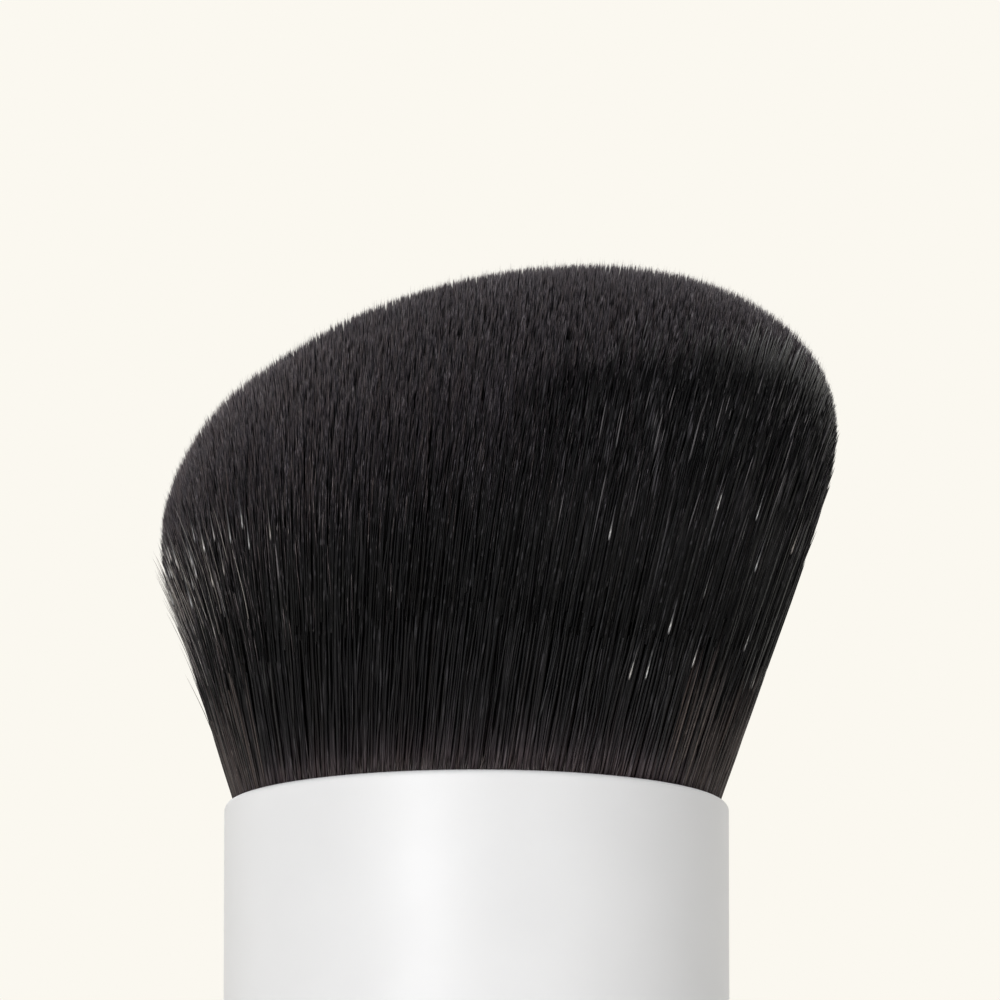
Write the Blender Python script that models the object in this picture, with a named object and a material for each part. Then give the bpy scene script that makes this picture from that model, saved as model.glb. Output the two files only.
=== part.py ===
"""Angled buffing brush: a dense black filament tuft set in a white satin casing that stands on its base.

Units are metres and +Z is up. The origin is the middle of the face that the brush stands on.
The crown of the tuft is slanted, and its tall side points to +X.
"""

import math

import bmesh
import bpy
from mathutils import Vector

MM = 0.001

# Clearances
SEAT_GAP = 0.3 * MM
CUT_OVERRUN = 1.0 * MM
# Points nearer to the axis than this share of the seat gap are merged into one.
AXIS_SHARE = 0.01

# Mesh fineness, as counts
OUTER_STEPS = 64
INNER_STEPS = 48
SMALL_STEPS = 24
HEX_STEPS = 6
ARC_STEPS = 3

# Casing: the ferrule and the handle tube are cut from one size of aluminium tube
CASING_RADIUS = 18.0 * MM
CASING_WALL = 0.5 * MM
LIP_FLAT = 0.05 * MM
SEAM_ROUNDING = 0.15 * MM
FERRULE_LENGTH = 30.0 * MM
HANDLE_LENGTH = 44.0 * MM

# Base: a soft pad in a moulded plug
PAD_RADIUS = 14.0 * MM
PAD_THICKNESS = 1.5 * MM
PAD_PROUD = 0.8 * MM
PAD_ROUNDING = 0.4 * MM
PLUG_FLOOR = 1.6 * MM
PLUG_SKIRT_LENGTH = 4.0 * MM
PLUG_SKIRT_WALL = 1.6 * MM
PLUG_ROUNDING = 0.5 * MM

# Handle core: a beech dowel that both tubes slide over, bored from below for the ballast
CORE_WALL = 2.2 * MM

# Ballast and the foam that keeps it quiet
FOAM_OVER_SKIRT = 1.2 * MM
FOAM_THICKNESS = 3.0 * MM
BALLAST_LENGTH = 12.0 * MM
BALLAST_CHAMFER = 1.0 * MM

# Clamp: an M6 low-head cap screw with its washer, and a brass threaded insert in the core's top
BOLT_RADIUS = 3.0 * MM
BOLT_TAIL = 1.5 * MM
BOLT_CHAMFER = 0.5 * MM
HEAD_RADIUS = 5.0 * MM
HEAD_HEIGHT = 4.0 * MM
SOCKET_ACROSS_FLATS = 4.0 * MM
SOCKET_DEPTH = 2.4 * MM
WASHER_OVERHANG = 1.0 * MM
WASHER_THICKNESS = 1.2 * MM
INSERT_WALL = 1.4 * MM
INSERT_LENGTH = 12.0 * MM
COLLAR_OVERHANG = 1.2 * MM
COLLAR_THICKNESS = 1.0 * MM
BARB_DEPTH = 0.4 * MM
BARB_COUNT = 3

# Knot cup, with the resin that the filaments' ends are cast in and the cord bound round them
CUP_WALL = 0.7 * MM
CUP_FLOOR = 1.8 * MM
CUP_MOUTH_CHAMFER = 0.5 * MM
BINDING_CORD = 0.9 * MM
BINDING_TURNS = 4

# Tuft: its root slice below the rim, and its crown above the rim
ROOT_DEPTH = 3.4 * MM
ROOT_THICKNESS = 2.0 * MM
ROOT_MARGIN = 0.1 * MM
CROWN_HALF_WIDTH = 24.0 * MM
CROWN_HALF_DEPTH = 22.8 * MM
CROWN_OFFSET = 1.45 * MM
SHOULDER_HEIGHT = 23.9 * MM
SHOULDER_RISE = 8.1 * MM
CROWN_HEIGHT = 14.1 * MM
STRAND_RINGS = 10
STRAND_GAP = 0.35 * MM
TIP_GAP = 0.8 * MM
TIP_DROP = 1.0 * MM
# Each ring has this many more strands than the one inside it, so a strand's cell is about square.
STRANDS_PER_RING = 6
# The crown's section is a superellipse between these two exponents, a little fuller than a circle.
CROWN_EXPONENTS = (2.2, 1.8)
# The tuft's side bellies out by this share of its flare, and this power holds the belly to its top.
BELLY_SHARE = 0.16
BELLY_POWER = 9
# A strand bends at this share of its height above the rim.
BEND_SHARE = 0.86

# Radii that follow from the sizes above
BORE_RADIUS = CASING_RADIUS - CASING_WALL
CORE_RADIUS = BORE_RADIUS - SEAT_GAP
POCKET_RADIUS = CORE_RADIUS - CORE_WALL
SLUG_RADIUS = POCKET_RADIUS - SEAT_GAP
SKIRT_BORE_RADIUS = SLUG_RADIUS - PLUG_SKIRT_WALL
CUP_BORE_RADIUS = CORE_RADIUS - CUP_WALL
ROOT_RADIUS = CUP_BORE_RADIUS - SEAT_GAP
BINDING_BORE_RADIUS = ROOT_RADIUS - BINDING_CORD
RESIN_RADIUS = BINDING_BORE_RADIUS - SEAT_GAP
BOLT_HOLE_RADIUS = BOLT_RADIUS + SEAT_GAP
WASHER_RADIUS = HEAD_RADIUS + WASHER_OVERHANG
INSERT_RADIUS = BOLT_HOLE_RADIUS + INSERT_WALL
COLLAR_RADIUS = INSERT_RADIUS + COLLAR_OVERHANG

# Heights of the handle's pieces, from the ground up
PLUG_LEVEL = PAD_PROUD
PAD_RECESS = PAD_THICKNESS - PAD_PROUD + SEAT_GAP
PLUG_FLANGE = PAD_RECESS + PLUG_FLOOR
CORE_LEVEL = PLUG_LEVEL + PLUG_FLANGE + SEAT_GAP
FOAM_LOWER_THICKNESS = PLUG_SKIRT_LENGTH + FOAM_OVER_SKIRT
BALLAST_LEVEL = CORE_LEVEL + FOAM_LOWER_THICKNESS + SEAT_GAP
FOAM_UPPER_LEVEL = BALLAST_LEVEL + BALLAST_LENGTH + SEAT_GAP
POCKET_DEPTH = FOAM_UPPER_LEVEL + FOAM_THICKNESS + SEAT_GAP - CORE_LEVEL
SEAM_LEVEL = PLUG_LEVEL + HANDLE_LENGTH
FERRULE_LEVEL = SEAM_LEVEL + SEAT_GAP
RIM_LEVEL = FERRULE_LEVEL + FERRULE_LENGTH

# Heights of the pieces that hang from the rim, from the rim down
ROOT_LEVEL = RIM_LEVEL - ROOT_DEPTH - ROOT_THICKNESS
BINDING_HEIGHT = BINDING_TURNS * BINDING_CORD
RESIN_LEVEL = ROOT_LEVEL - SEAT_GAP - BINDING_HEIGHT
HEAD_LEVEL = RESIN_LEVEL - SEAT_GAP - HEAD_HEIGHT
WASHER_LEVEL = HEAD_LEVEL - SEAT_GAP - WASHER_THICKNESS
CUP_LEVEL = WASHER_LEVEL - SEAT_GAP - CUP_FLOOR
CUP_HEIGHT = RIM_LEVEL - ROOT_DEPTH - CUP_LEVEL
CORE_HEIGHT = CUP_LEVEL - SEAT_GAP - CORE_LEVEL
INSERT_LEVEL = CORE_LEVEL + CORE_HEIGHT - INSERT_LENGTH
BOLT_LEVEL = INSERT_LEVEL - BOLT_TAIL


def clear_scene():
    """Removes every object that the file opened with."""
    for obj in list(bpy.data.objects):
        bpy.data.objects.remove(obj)


def finish(name, hex_colour, roughness, metallic):
    """A Principled material with an sRGB colour written as six hexadecimal digits."""
    channels = [int(hex_colour[i : i + 2], 16) / 255 for i in (0, 2, 4)]
    linear = [c / 12.92 if c <= 0.04045 else ((c + 0.055) / 1.055) ** 2.4 for c in channels]
    material = bpy.data.materials.new(name)
    material.use_nodes = True
    shader = material.node_tree.nodes["Principled BSDF"]
    shader.inputs["Base Color"].default_value = (*linear, 1.0)
    shader.inputs["Roughness"].default_value = roughness
    shader.inputs["Metallic"].default_value = metallic
    return material


def group(name, level):
    """An empty that carries the pieces of one sub-assembly, at a height above the ground."""
    empty = bpy.data.objects.new(name, None)
    bpy.context.scene.collection.objects.link(empty)
    empty.location.z = level
    return empty


def place(name, bm, material, parent, level):
    """Turns a bmesh into a named object that stands on a level and belongs to a sub-assembly."""
    bmesh.ops.recalc_face_normals(bm, faces=bm.faces)
    mesh = bpy.data.meshes.new(name)
    bm.to_mesh(mesh)
    bm.free()
    mesh.materials.append(material)
    obj = bpy.data.objects.new(name, mesh)
    bpy.context.scene.collection.objects.link(obj)
    obj.parent = parent
    obj.location.z = level - parent.location.z
    return obj


def arc(centre, radius, start, end):
    """Points of an arc in the (radius, height) plane, from one angle to another in degrees."""
    points = []
    for i in range(ARC_STEPS + 1):
        angle = math.radians(start + (end - start) * i / ARC_STEPS)
        points.append((centre[0] + radius * math.cos(angle), centre[1] + radius * math.sin(angle)))
    return points


def turned(profile, steps, closed=False):
    """Spins (radius, height) points about +Z: an open profile from axis to axis, or a closed one."""
    bm = bmesh.new()
    verts = [bm.verts.new((radius, 0, height)) for radius, height in profile]
    pairs = list(zip(verts, verts[1:]))
    if closed:
        pairs.append((verts[-1], verts[0]))
    edges = [bm.edges.new(pair) for pair in pairs]
    bmesh.ops.spin(
        bm,
        geom=verts + edges,
        cent=(0, 0, 0),
        axis=(0, 0, 1),
        angle=math.tau,
        steps=steps,
        use_merge=True,
    )
    near = SEAT_GAP * AXIS_SHARE
    on_axis = [v for v in bm.verts if v.co.xy.length < near]
    bmesh.ops.remove_doubles(bm, verts=on_axis, dist=near)
    return bm


def disc(radius, thickness, steps=INNER_STEPS):
    """A plain disc."""
    return turned([(0, 0), (radius, 0), (radius, thickness), (0, thickness)], steps)


def ring(inner_radius, outer_radius, thickness, steps=INNER_STEPS):
    """A flat ring of rectangular section."""
    low = [(inner_radius, 0), (outer_radius, 0)]
    high = [(outer_radius, thickness), (inner_radius, thickness)]
    return turned(low + high, steps, closed=True)


def boolean(obj, tool, operation):
    """Applies an exact Boolean of a tool body to an object and removes the tool body."""
    modifier = obj.modifiers.new(operation.lower(), "BOOLEAN")
    modifier.operation = operation
    modifier.solver = "EXACT"
    modifier.object = tool
    bpy.context.view_layer.update()
    evaluated = obj.evaluated_get(bpy.context.evaluated_depsgraph_get())
    mesh = bpy.data.meshes.new_from_object(evaluated)
    obj.modifiers.remove(modifier)
    obj.data = mesh
    bpy.data.objects.remove(tool)


def ferrule():
    """The upper tube, rounded over at its rim and eased at the seam."""
    lip = CASING_WALL - LIP_FLAT
    foot = arc((CASING_RADIUS - SEAM_ROUNDING, SEAM_ROUNDING), SEAM_ROUNDING, -90, 0)
    rim = arc((CASING_RADIUS - lip, FERRULE_LENGTH - lip), lip, 0, 90)
    return turned([(BORE_RADIUS, 0), *foot, *rim, (BORE_RADIUS, FERRULE_LENGTH)], OUTER_STEPS, closed=True)


def handle_tube():
    """The lower tube, rounded over at the base and eased at the seam."""
    lip = CASING_WALL - LIP_FLAT
    foot = arc((CASING_RADIUS - lip, lip), lip, -90, 0)
    seam = arc((CASING_RADIUS - SEAM_ROUNDING, HANDLE_LENGTH - SEAM_ROUNDING), SEAM_ROUNDING, 0, 90)
    return turned([(BORE_RADIUS, 0), *foot, *seam, (BORE_RADIUS, HANDLE_LENGTH)], OUTER_STEPS, closed=True)


def base_pad():
    """The soft disc that the brush stands on, with an eased lower edge."""
    edge = arc((PAD_RADIUS - PAD_ROUNDING, PAD_ROUNDING), PAD_ROUNDING, -90, 0)
    return turned([(0, 0), *edge, (PAD_RADIUS, PAD_THICKNESS), (0, PAD_THICKNESS)], INNER_STEPS)


def base_plug():
    """The moulded plug: a flange with a recess for the pad below and a skirt that enters the core above."""
    recess_radius = PAD_RADIUS + SEAT_GAP
    skirt_top = PLUG_FLANGE + PLUG_SKIRT_LENGTH
    profile = [
        (0, PAD_RECESS),
        (recess_radius, PAD_RECESS),
        (recess_radius, 0),
        *arc((CORE_RADIUS - PLUG_ROUNDING, PLUG_ROUNDING), PLUG_ROUNDING, -90, 0),
        (CORE_RADIUS, PLUG_FLANGE),
        (SLUG_RADIUS, PLUG_FLANGE),
        (SLUG_RADIUS, skirt_top),
        (SKIRT_BORE_RADIUS, skirt_top),
        (SKIRT_BORE_RADIUS, PLUG_FLANGE),
        (0, PLUG_FLANGE),
    ]
    return turned(profile, INNER_STEPS)


def handle_core():
    """The dowel: a pocket for the ballast below, and a stepped hole for the insert and the screw above."""
    collar_hole = COLLAR_RADIUS + SEAT_GAP
    insert_hole = INSERT_RADIUS + SEAT_GAP
    collar_seat = CORE_HEIGHT - COLLAR_THICKNESS - SEAT_GAP
    insert_seat = CORE_HEIGHT - INSERT_LENGTH - SEAT_GAP
    hole_end = insert_seat - BOLT_TAIL
    profile = [
        (0, POCKET_DEPTH),
        (POCKET_RADIUS, POCKET_DEPTH),
        (POCKET_RADIUS, 0),
        (CORE_RADIUS, 0),
        (CORE_RADIUS, CORE_HEIGHT),
        (collar_hole, CORE_HEIGHT),
        (collar_hole, collar_seat),
        (insert_hole, collar_seat),
        (insert_hole, insert_seat),
        (BOLT_HOLE_RADIUS, insert_seat),
        (BOLT_HOLE_RADIUS, hole_end),
        (0, hole_end),
    ]
    return turned(profile, INNER_STEPS)


def ballast_weight():
    """The steel slug, chamfered at both ends."""
    inner = SLUG_RADIUS - BALLAST_CHAMFER
    high = BALLAST_LENGTH - BALLAST_CHAMFER
    foot = [(0, 0), (inner, 0), (SLUG_RADIUS, BALLAST_CHAMFER)]
    return turned([*foot, (SLUG_RADIUS, high), (inner, BALLAST_LENGTH), (0, BALLAST_LENGTH)], INNER_STEPS)


def clamp_screw():
    """The cap screw's shank and head, before its socket is cut."""
    under_head = HEAD_LEVEL - BOLT_LEVEL
    top = under_head + HEAD_HEIGHT
    profile = [
        (0, 0),
        (BOLT_RADIUS - BOLT_CHAMFER, 0),
        (BOLT_RADIUS, BOLT_CHAMFER),
        (BOLT_RADIUS, under_head),
        (HEAD_RADIUS, under_head),
        (HEAD_RADIUS, top - BOLT_CHAMFER),
        (HEAD_RADIUS - BOLT_CHAMFER, top),
        (0, top),
    ]
    return turned(profile, SMALL_STEPS)


def screw_socket():
    """The cutter for the hexagonal socket in the screw's head."""
    corner_radius = SOCKET_ACROSS_FLATS / 2 / math.cos(math.pi / HEX_STEPS)
    return disc(corner_radius, SOCKET_DEPTH + CUT_OVERRUN, HEX_STEPS)


def threaded_insert():
    """The brass insert: a collar on a sleeve whose outside has barbs that point up."""
    under_collar = INSERT_LENGTH - COLLAR_THICKNESS
    pitch = under_collar / BARB_COUNT
    profile = [(BOLT_HOLE_RADIUS, 0)]
    for i in range(BARB_COUNT):
        profile += [(INSERT_RADIUS - BARB_DEPTH, i * pitch), (INSERT_RADIUS, (i + 1) * pitch)]
    profile += [(COLLAR_RADIUS, under_collar), (COLLAR_RADIUS, INSERT_LENGTH)]
    profile.append((BOLT_HOLE_RADIUS, INSERT_LENGTH))
    return turned(profile, SMALL_STEPS, closed=True)


def knot_cup():
    """The cup that the tuft is set in, with a pocket in its floor for the screw's head and washer."""
    pocket_radius = WASHER_RADIUS + SEAT_GAP
    floor_top = RESIN_LEVEL - SEAT_GAP - CUP_LEVEL
    profile = [
        (BOLT_HOLE_RADIUS, 0),
        (CORE_RADIUS, 0),
        (CORE_RADIUS, CUP_HEIGHT),
        (CUP_BORE_RADIUS + CUP_MOUTH_CHAMFER, CUP_HEIGHT),
        (CUP_BORE_RADIUS, CUP_HEIGHT - CUP_MOUTH_CHAMFER),
        (CUP_BORE_RADIUS, floor_top),
        (pocket_radius, floor_top),
        (pocket_radius, CUP_FLOOR),
        (BOLT_HOLE_RADIUS, CUP_FLOOR),
    ]
    return turned(profile, INNER_STEPS, closed=True)


def root_binding():
    """The cord bound round the roots, whose turns lie on each other and show as a row of half rounds."""
    cord = BINDING_CORD / 2
    profile = [(BINDING_BORE_RADIUS, 0)]
    for turn in range(BINDING_TURNS):
        middle = (BINDING_BORE_RADIUS + cord, cord + turn * BINDING_CORD)
        half_round = arc(middle, cord, -90, 90)
        profile += half_round[1:] if turn else half_round
    profile.append((BINDING_BORE_RADIUS, BINDING_HEIGHT))
    return turned(profile, INNER_STEPS, closed=True)


def crown_height(point):
    """Height of the crown above the rim over a plan point: a dome on a slanted shoulder plane."""
    across = (point.x - CROWN_OFFSET) / CROWN_HALF_WIDTH
    outward = min(1.0, math.hypot(across, point.y / CROWN_HALF_DEPTH))
    fall, fullness = CROWN_EXPONENTS
    dome = CROWN_HEIGHT * (1 - outward**fall) ** (1 / fullness)
    return SHOULDER_HEIGHT + SHOULDER_RISE / 2 * across + dome


def tuft_edge(angle, rise_share):
    """Plan point of the tuft's edge, from the rim at share 0 to its widest at share 1."""
    spread = rise_share * (1 + BELLY_SHARE * (1 - rise_share**BELLY_POWER))
    around = Vector((math.cos(angle), math.sin(angle)))
    widest = Vector((CROWN_OFFSET + CROWN_HALF_WIDTH * around.x, CROWN_HALF_DEPTH * around.y))
    return (around * CORE_RADIUS).lerp(widest, spread)


def root_edge(angle):
    """Plan point of the tuft's edge where the strands leave the root slice."""
    return Vector((math.cos(angle), math.sin(angle))) * (ROOT_RADIUS - ROOT_MARGIN)


def strand_section(number, angle, edge, gap):
    """Plan points of a strand's four corners, half a gap inside its cell, for one edge of the tuft."""
    cells = STRAND_RINGS + 0.5
    inset_share = gap / 2 / edge(angle).length
    if number == 0:
        share = 0.5 / cells - inset_share
        return [edge(math.tau * i / 4) * share for i in range(4)]
    inner_share = (number - 0.5) / cells + inset_share
    outer_share = (number + 0.5) / cells - inset_share
    half_turn = math.pi / (STRANDS_PER_RING * number)
    inner_turn = half_turn - inset_share / inner_share
    outer_turn = half_turn - inset_share / outer_share
    return [
        edge(angle - inner_turn) * inner_share,
        edge(angle - outer_turn) * outer_share,
        edge(angle + outer_turn) * outer_share,
        edge(angle + inner_turn) * inner_share,
    ]


def bend_edge(angle):
    """Plan point of the tuft's edge where the strands bend."""
    return tuft_edge(angle, BEND_SHARE)


def crown_edge(angle):
    """Plan point of the tuft's edge at its widest."""
    return tuft_edge(angle, 1)


def bridge(bm, lower, upper):
    """Adds the faces between two closed rows of as many points."""
    for i in range(len(lower)):
        j = (i + 1) % len(lower)
        bm.faces.new((lower[i], lower[j], upper[j], upper[i]))


def closed_edges(bm, loop):
    """The edges round a closed row of points, made where they are missing."""
    return [bm.edges.get(pair) or bm.edges.new(pair) for pair in zip(loop, loop[1:] + loop[:1])]


def add_strand(bm, number, angle):
    """Adds one four-sided strand that fans out to its bend and ends in a point, and returns its foot."""
    tip = crown_edge(angle) * number / (STRAND_RINGS + 0.5)
    height = crown_height(tip)
    root = strand_section(number, angle, root_edge, STRAND_GAP)
    bend = strand_section(number, angle, bend_edge, STRAND_GAP)
    top = strand_section(number, angle, crown_edge, TIP_GAP)
    foot_loop = [bm.verts.new((*point, -ROOT_DEPTH)) for point in root]
    bend_loop = [bm.verts.new((*point, height * BEND_SHARE)) for point in bend]
    top_loop = [bm.verts.new((*point, crown_height(point) - TIP_DROP)) for point in top]
    bridge(bm, foot_loop, bend_loop)
    bridge(bm, bend_loop, top_loop)
    point = bm.verts.new((*tip, height))
    for i in range(4):
        bm.faces.new((top_loop[i], top_loop[(i + 1) % 4], point))
    return foot_loop


def bristle_tuft():
    """The strands in rings about a central one, all grown out of the upper face of one root slice."""
    bm = bmesh.new()
    feet = [add_strand(bm, 0, 0)]
    for number in range(1, STRAND_RINGS + 1):
        count = STRANDS_PER_RING * number
        for i in range(count):
            # Every other ring is turned by half a cell.
            feet.append(add_strand(bm, number, math.tau * (i + number % 2 / 2) / count))
    around = [Vector((math.cos(angle), math.sin(angle))) * ROOT_RADIUS for angle in slice_angles()]
    upper = [bm.verts.new((*point, -ROOT_DEPTH)) for point in around]
    lower = [bm.verts.new((*point, -ROOT_DEPTH - ROOT_THICKNESS)) for point in around]
    bridge(bm, lower, upper)
    bm.faces.new(lower)
    rims = [edge for loop in [upper, *feet] for edge in closed_edges(bm, loop)]
    bmesh.ops.triangle_fill(bm, edges=rims, normal=(0, 0, 1))
    return bm


def slice_angles():
    """Angles of the corners of the root slice."""
    return [math.tau * i / INNER_STEPS for i in range(INNER_STEPS)]


def build_handle():
    """The casing's lower half and all that it holds."""
    white = finish("satin white lacquer", "F2F2F1", 0.42, 0.0)
    moulded = finish("white moulded ABS", "ECEBE8", 0.5, 0.0)
    soft = finish("grey elastomer", "9A9A98", 0.75, 0.0)
    beech = finish("beech dowel", "C9A273", 0.65, 0.0)
    foam = finish("charcoal foam", "3A3A3C", 0.95, 0.0)
    steel = finish("zinc-plated steel", "B4B6B8", 0.35, 1.0)
    handle = group("handle_group", 0)
    place("handle_tube", handle_tube(), white, handle, PLUG_LEVEL)
    place("base_pad", base_pad(), soft, handle, 0)
    place("base_plug", base_plug(), moulded, handle, PLUG_LEVEL)
    place("handle_core", handle_core(), beech, handle, CORE_LEVEL)
    foam_lower = disc(SKIRT_BORE_RADIUS - SEAT_GAP, FOAM_LOWER_THICKNESS)
    place("foam_disc_lower", foam_lower, foam, handle, CORE_LEVEL)
    place("ballast_weight", ballast_weight(), steel, handle, BALLAST_LEVEL)
    place("foam_disc_upper", disc(SLUG_RADIUS, FOAM_THICKNESS), foam, handle, FOAM_UPPER_LEVEL)


def build_clamp():
    """The screw, washer and insert that hold the cup down on the core."""
    steel = finish("bright zinc plating", "C4C6C8", 0.28, 1.0)
    brass = finish("plain brass", "B5924C", 0.35, 1.0)
    clamp = group("clamp_group", CUP_LEVEL)
    screw = place("clamp_screw", clamp_screw(), steel, clamp, BOLT_LEVEL)
    socket = place("socket", screw_socket(), steel, clamp, HEAD_LEVEL + HEAD_HEIGHT - SOCKET_DEPTH)
    boolean(screw, socket, "DIFFERENCE")
    washer = ring(BOLT_HOLE_RADIUS, WASHER_RADIUS, WASHER_THICKNESS, SMALL_STEPS)
    place("clamp_washer", washer, steel, clamp, WASHER_LEVEL)
    place("threaded_insert", threaded_insert(), brass, clamp, INSERT_LEVEL)


def build_head():
    """The ferrule, the cup in it and the tuft."""
    white = finish("satin white lacquer on the ferrule", "F2F2F1", 0.42, 0.0)
    nylon = finish("black nylon", "1C1C1D", 0.5, 0.0)
    resin = finish("cured amber resin", "8A6A34", 0.25, 0.0)
    thread = finish("waxed binding cord", "B9AF9A", 0.8, 0.0)
    filament = finish("black PBT filament", "1B1A1B", 0.45, 0.0)
    head = group("head_group", RIM_LEVEL)
    place("ferrule", ferrule(), white, head, FERRULE_LEVEL)
    place("knot_cup", knot_cup(), nylon, head, CUP_LEVEL)
    place("resin_bed", disc(RESIN_RADIUS, BINDING_HEIGHT), resin, head, RESIN_LEVEL)
    place("root_binding", root_binding(), thread, head, RESIN_LEVEL)
    place("bristle_tuft", bristle_tuft(), filament, head, RIM_LEVEL)


clear_scene()
build_handle()
build_clamp()
build_head()
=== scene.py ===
"""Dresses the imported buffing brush: its casing, its base and its tuft of black filaments.

Everything is in metres in the CAD part's own frame: +Z is up, and the brush stands on the plane z = 0.
The crown of the tuft is slanted, and its tall side points to +X.
"""

import logging
import math
from collections.abc import Callable, Iterator
from contextlib import contextmanager
from dataclasses import dataclass
from enum import Enum

import bmesh
import bpy
import numpy as np
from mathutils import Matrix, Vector


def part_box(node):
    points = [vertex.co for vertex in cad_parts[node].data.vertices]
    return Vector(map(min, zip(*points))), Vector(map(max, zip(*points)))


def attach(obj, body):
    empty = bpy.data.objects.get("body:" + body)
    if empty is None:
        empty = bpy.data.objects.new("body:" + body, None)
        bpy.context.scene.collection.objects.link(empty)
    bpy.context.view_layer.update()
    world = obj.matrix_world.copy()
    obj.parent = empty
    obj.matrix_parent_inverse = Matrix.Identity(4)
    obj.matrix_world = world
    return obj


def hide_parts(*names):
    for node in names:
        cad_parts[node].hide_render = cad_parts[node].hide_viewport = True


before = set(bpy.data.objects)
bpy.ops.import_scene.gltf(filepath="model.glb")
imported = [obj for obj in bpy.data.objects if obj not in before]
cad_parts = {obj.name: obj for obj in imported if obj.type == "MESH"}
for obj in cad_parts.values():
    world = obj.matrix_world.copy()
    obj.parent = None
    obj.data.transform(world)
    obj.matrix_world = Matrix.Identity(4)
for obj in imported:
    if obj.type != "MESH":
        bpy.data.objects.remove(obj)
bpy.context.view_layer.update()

MM = 0.001
BODY = "root"
# The lowest and highest corners of the CAD nodes whose places the new pieces take.
FERRULE_LOW, FERRULE_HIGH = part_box("ferrule")
HANDLE_LOW, HANDLE_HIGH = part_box("handle_tube")
PLUG_LOW, PLUG_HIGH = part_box("base_plug")
PAD_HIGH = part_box("base_pad")[1]
# The filaments bring the UV map of this name, which the export keeps, and each has a strip of it this wide.
FILAMENT_MAP = "OFBake"
STRIP = 0.012
# How far off its ring or level a point may be and still be picked.
NEAR = 0.01 * MM
# How much of a face's normal is upright, at least, where the face counts as flat.
UPRIGHT = 0.99
# The share of a turn from one seed of a sunflower to the next, so that no two stand in line.
SUNFLOWER_TURN = (3 - math.sqrt(5)) / 2

log = logging.getLogger("buffing_brush")

Tree = bpy.types.NodeTree
Node = bpy.types.Node
Socket = bpy.types.NodeSocket
Piece = bpy.types.Object
Array = np.ndarray
# Places from 0 to 1 on a ramp, in order, and their sRGB colours.
Stops = tuple[tuple[float, str], ...]


class Slot(Enum):
    """The record's material slots that the new pieces take their finish from."""

    LACQUER = "lacquer_white"
    PLUG = "abs_white"
    PAD = "elastomer_grey"
    FILAMENT = "filament_black"


class Coordinates(Enum):
    """What a finish's pattern is worked out from, as outputs of Texture Coordinate."""

    OBJECT = "Object"
    MAP = "UV"


class Pattern(Enum):
    """What a grain is drawn with: a texture node, and the output that is read."""

    LUMPS = ("TexNoise", "Fac")
    CELLS = ("TexVoronoi", "Distance")


def linear(hex_colour: str) -> tuple[float, float, float, float]:
    """Turns an sRGB colour into the linear one that Blender's sockets take.

    Args:
        hex_colour: Six hexadecimal digits.

    Returns:
        Red, green, blue and an alpha of 1.
    """
    channels = [int(hex_colour[i : i + 2], 16) / 255 for i in (0, 2, 4)]
    red, green, blue = (c / 12.92 if c <= 0.04045 else ((c + 0.055) / 1.055) ** 2.4 for c in channels)
    return red, green, blue, 1.0


def per_metre(size_mm: float) -> float:
    """The scale at which a texture's lump is this many millimetres wide."""
    return 1 / (size_mm * MM)


def wave_scale(pitch_mm: float) -> float:
    """The scale at which a wave, whose period at 1 is a twentieth of a full turn, is this many mm long."""
    return per_metre(pitch_mm) * math.tau / 20


def add_node(
    tree: Tree, kind: str, inputs: dict[str | int, object] | None = None, **settings: object
) -> Node:
    """Adds one node with its settings and links.

    Args:
        tree: The node tree that it goes into.
        kind: The node's type in Blender, without the word ShaderNode.
        inputs: A value or another node's output for each input, by its name or number.
        **settings: The node's own properties.

    Returns:
        The new node.
    """
    node = tree.nodes.new(f"ShaderNode{kind}")
    for name, value in settings.items():
        setattr(node, name, value)
    for name, value in (inputs or {}).items():
        if isinstance(value, Socket):
            tree.links.new(value, node.inputs[name])
        else:
            node.inputs[name].default_value = value
    return node


def set_stops(ramp: Node, stops: Stops) -> Socket:
    """Gives a Color Ramp node its colours.

    Args:
        ramp: The Color Ramp node.
        stops: The colours.

    Returns:
        The ramp's colour output.
    """
    elements = ramp.color_ramp.elements
    while len(elements) < len(stops):
        elements.new(1.0)
    for element, (place, colour) in zip(elements, stops):
        element.position = place
        element.color = linear(colour)
    return ramp.outputs["Color"]


@dataclass(frozen=True)
class Work:
    """A material while it is made: its nodes, its Principled shader, and what its patterns read."""

    tree: Tree
    shader: Node
    place: Socket

    def colour(self, value: Socket) -> None:
        """Gives the surface its colour."""
        self.tree.links.new(value, self.shader.inputs["Base Color"])

    def raise_by(self, height: Socket, depth_mm: float) -> None:
        """Raises the surface where a pattern is light, by up to this many millimetres."""
        bump = add_node(self.tree, "Bump", {"Distance": depth_mm * MM, "Height": height})
        self.tree.links.new(bump.outputs["Normal"], self.shader.inputs["Normal"])


@dataclass(frozen=True)
class Clouds:
    """Soft clouds of near tones."""

    size_mm: float
    tones: Stops
    # How many finer layers they have.
    detail: float = 2.0
    # The scale of the pattern's Z, which is below 1 where the clouds are drawn out upwards.
    upright: float = 1.0

    def add(self, work: Work) -> Socket:
        """Adds them to a material.

        Args:
            work: The material.

        Returns:
            Their colour.
        """
        place = work.place
        if self.upright != 1:
            scale = (1.0, 1.0, self.upright)
            place = add_node(work.tree, "Mapping", {"Vector": place, "Scale": scale}).outputs[0]
        inputs = {"Vector": place, "Scale": per_metre(self.size_mm), "Detail": self.detail}
        noise = add_node(work.tree, "TexNoise", inputs)
        return set_stops(add_node(work.tree, "ValToRGB", {"Fac": noise.outputs["Fac"]}), self.tones)


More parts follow.
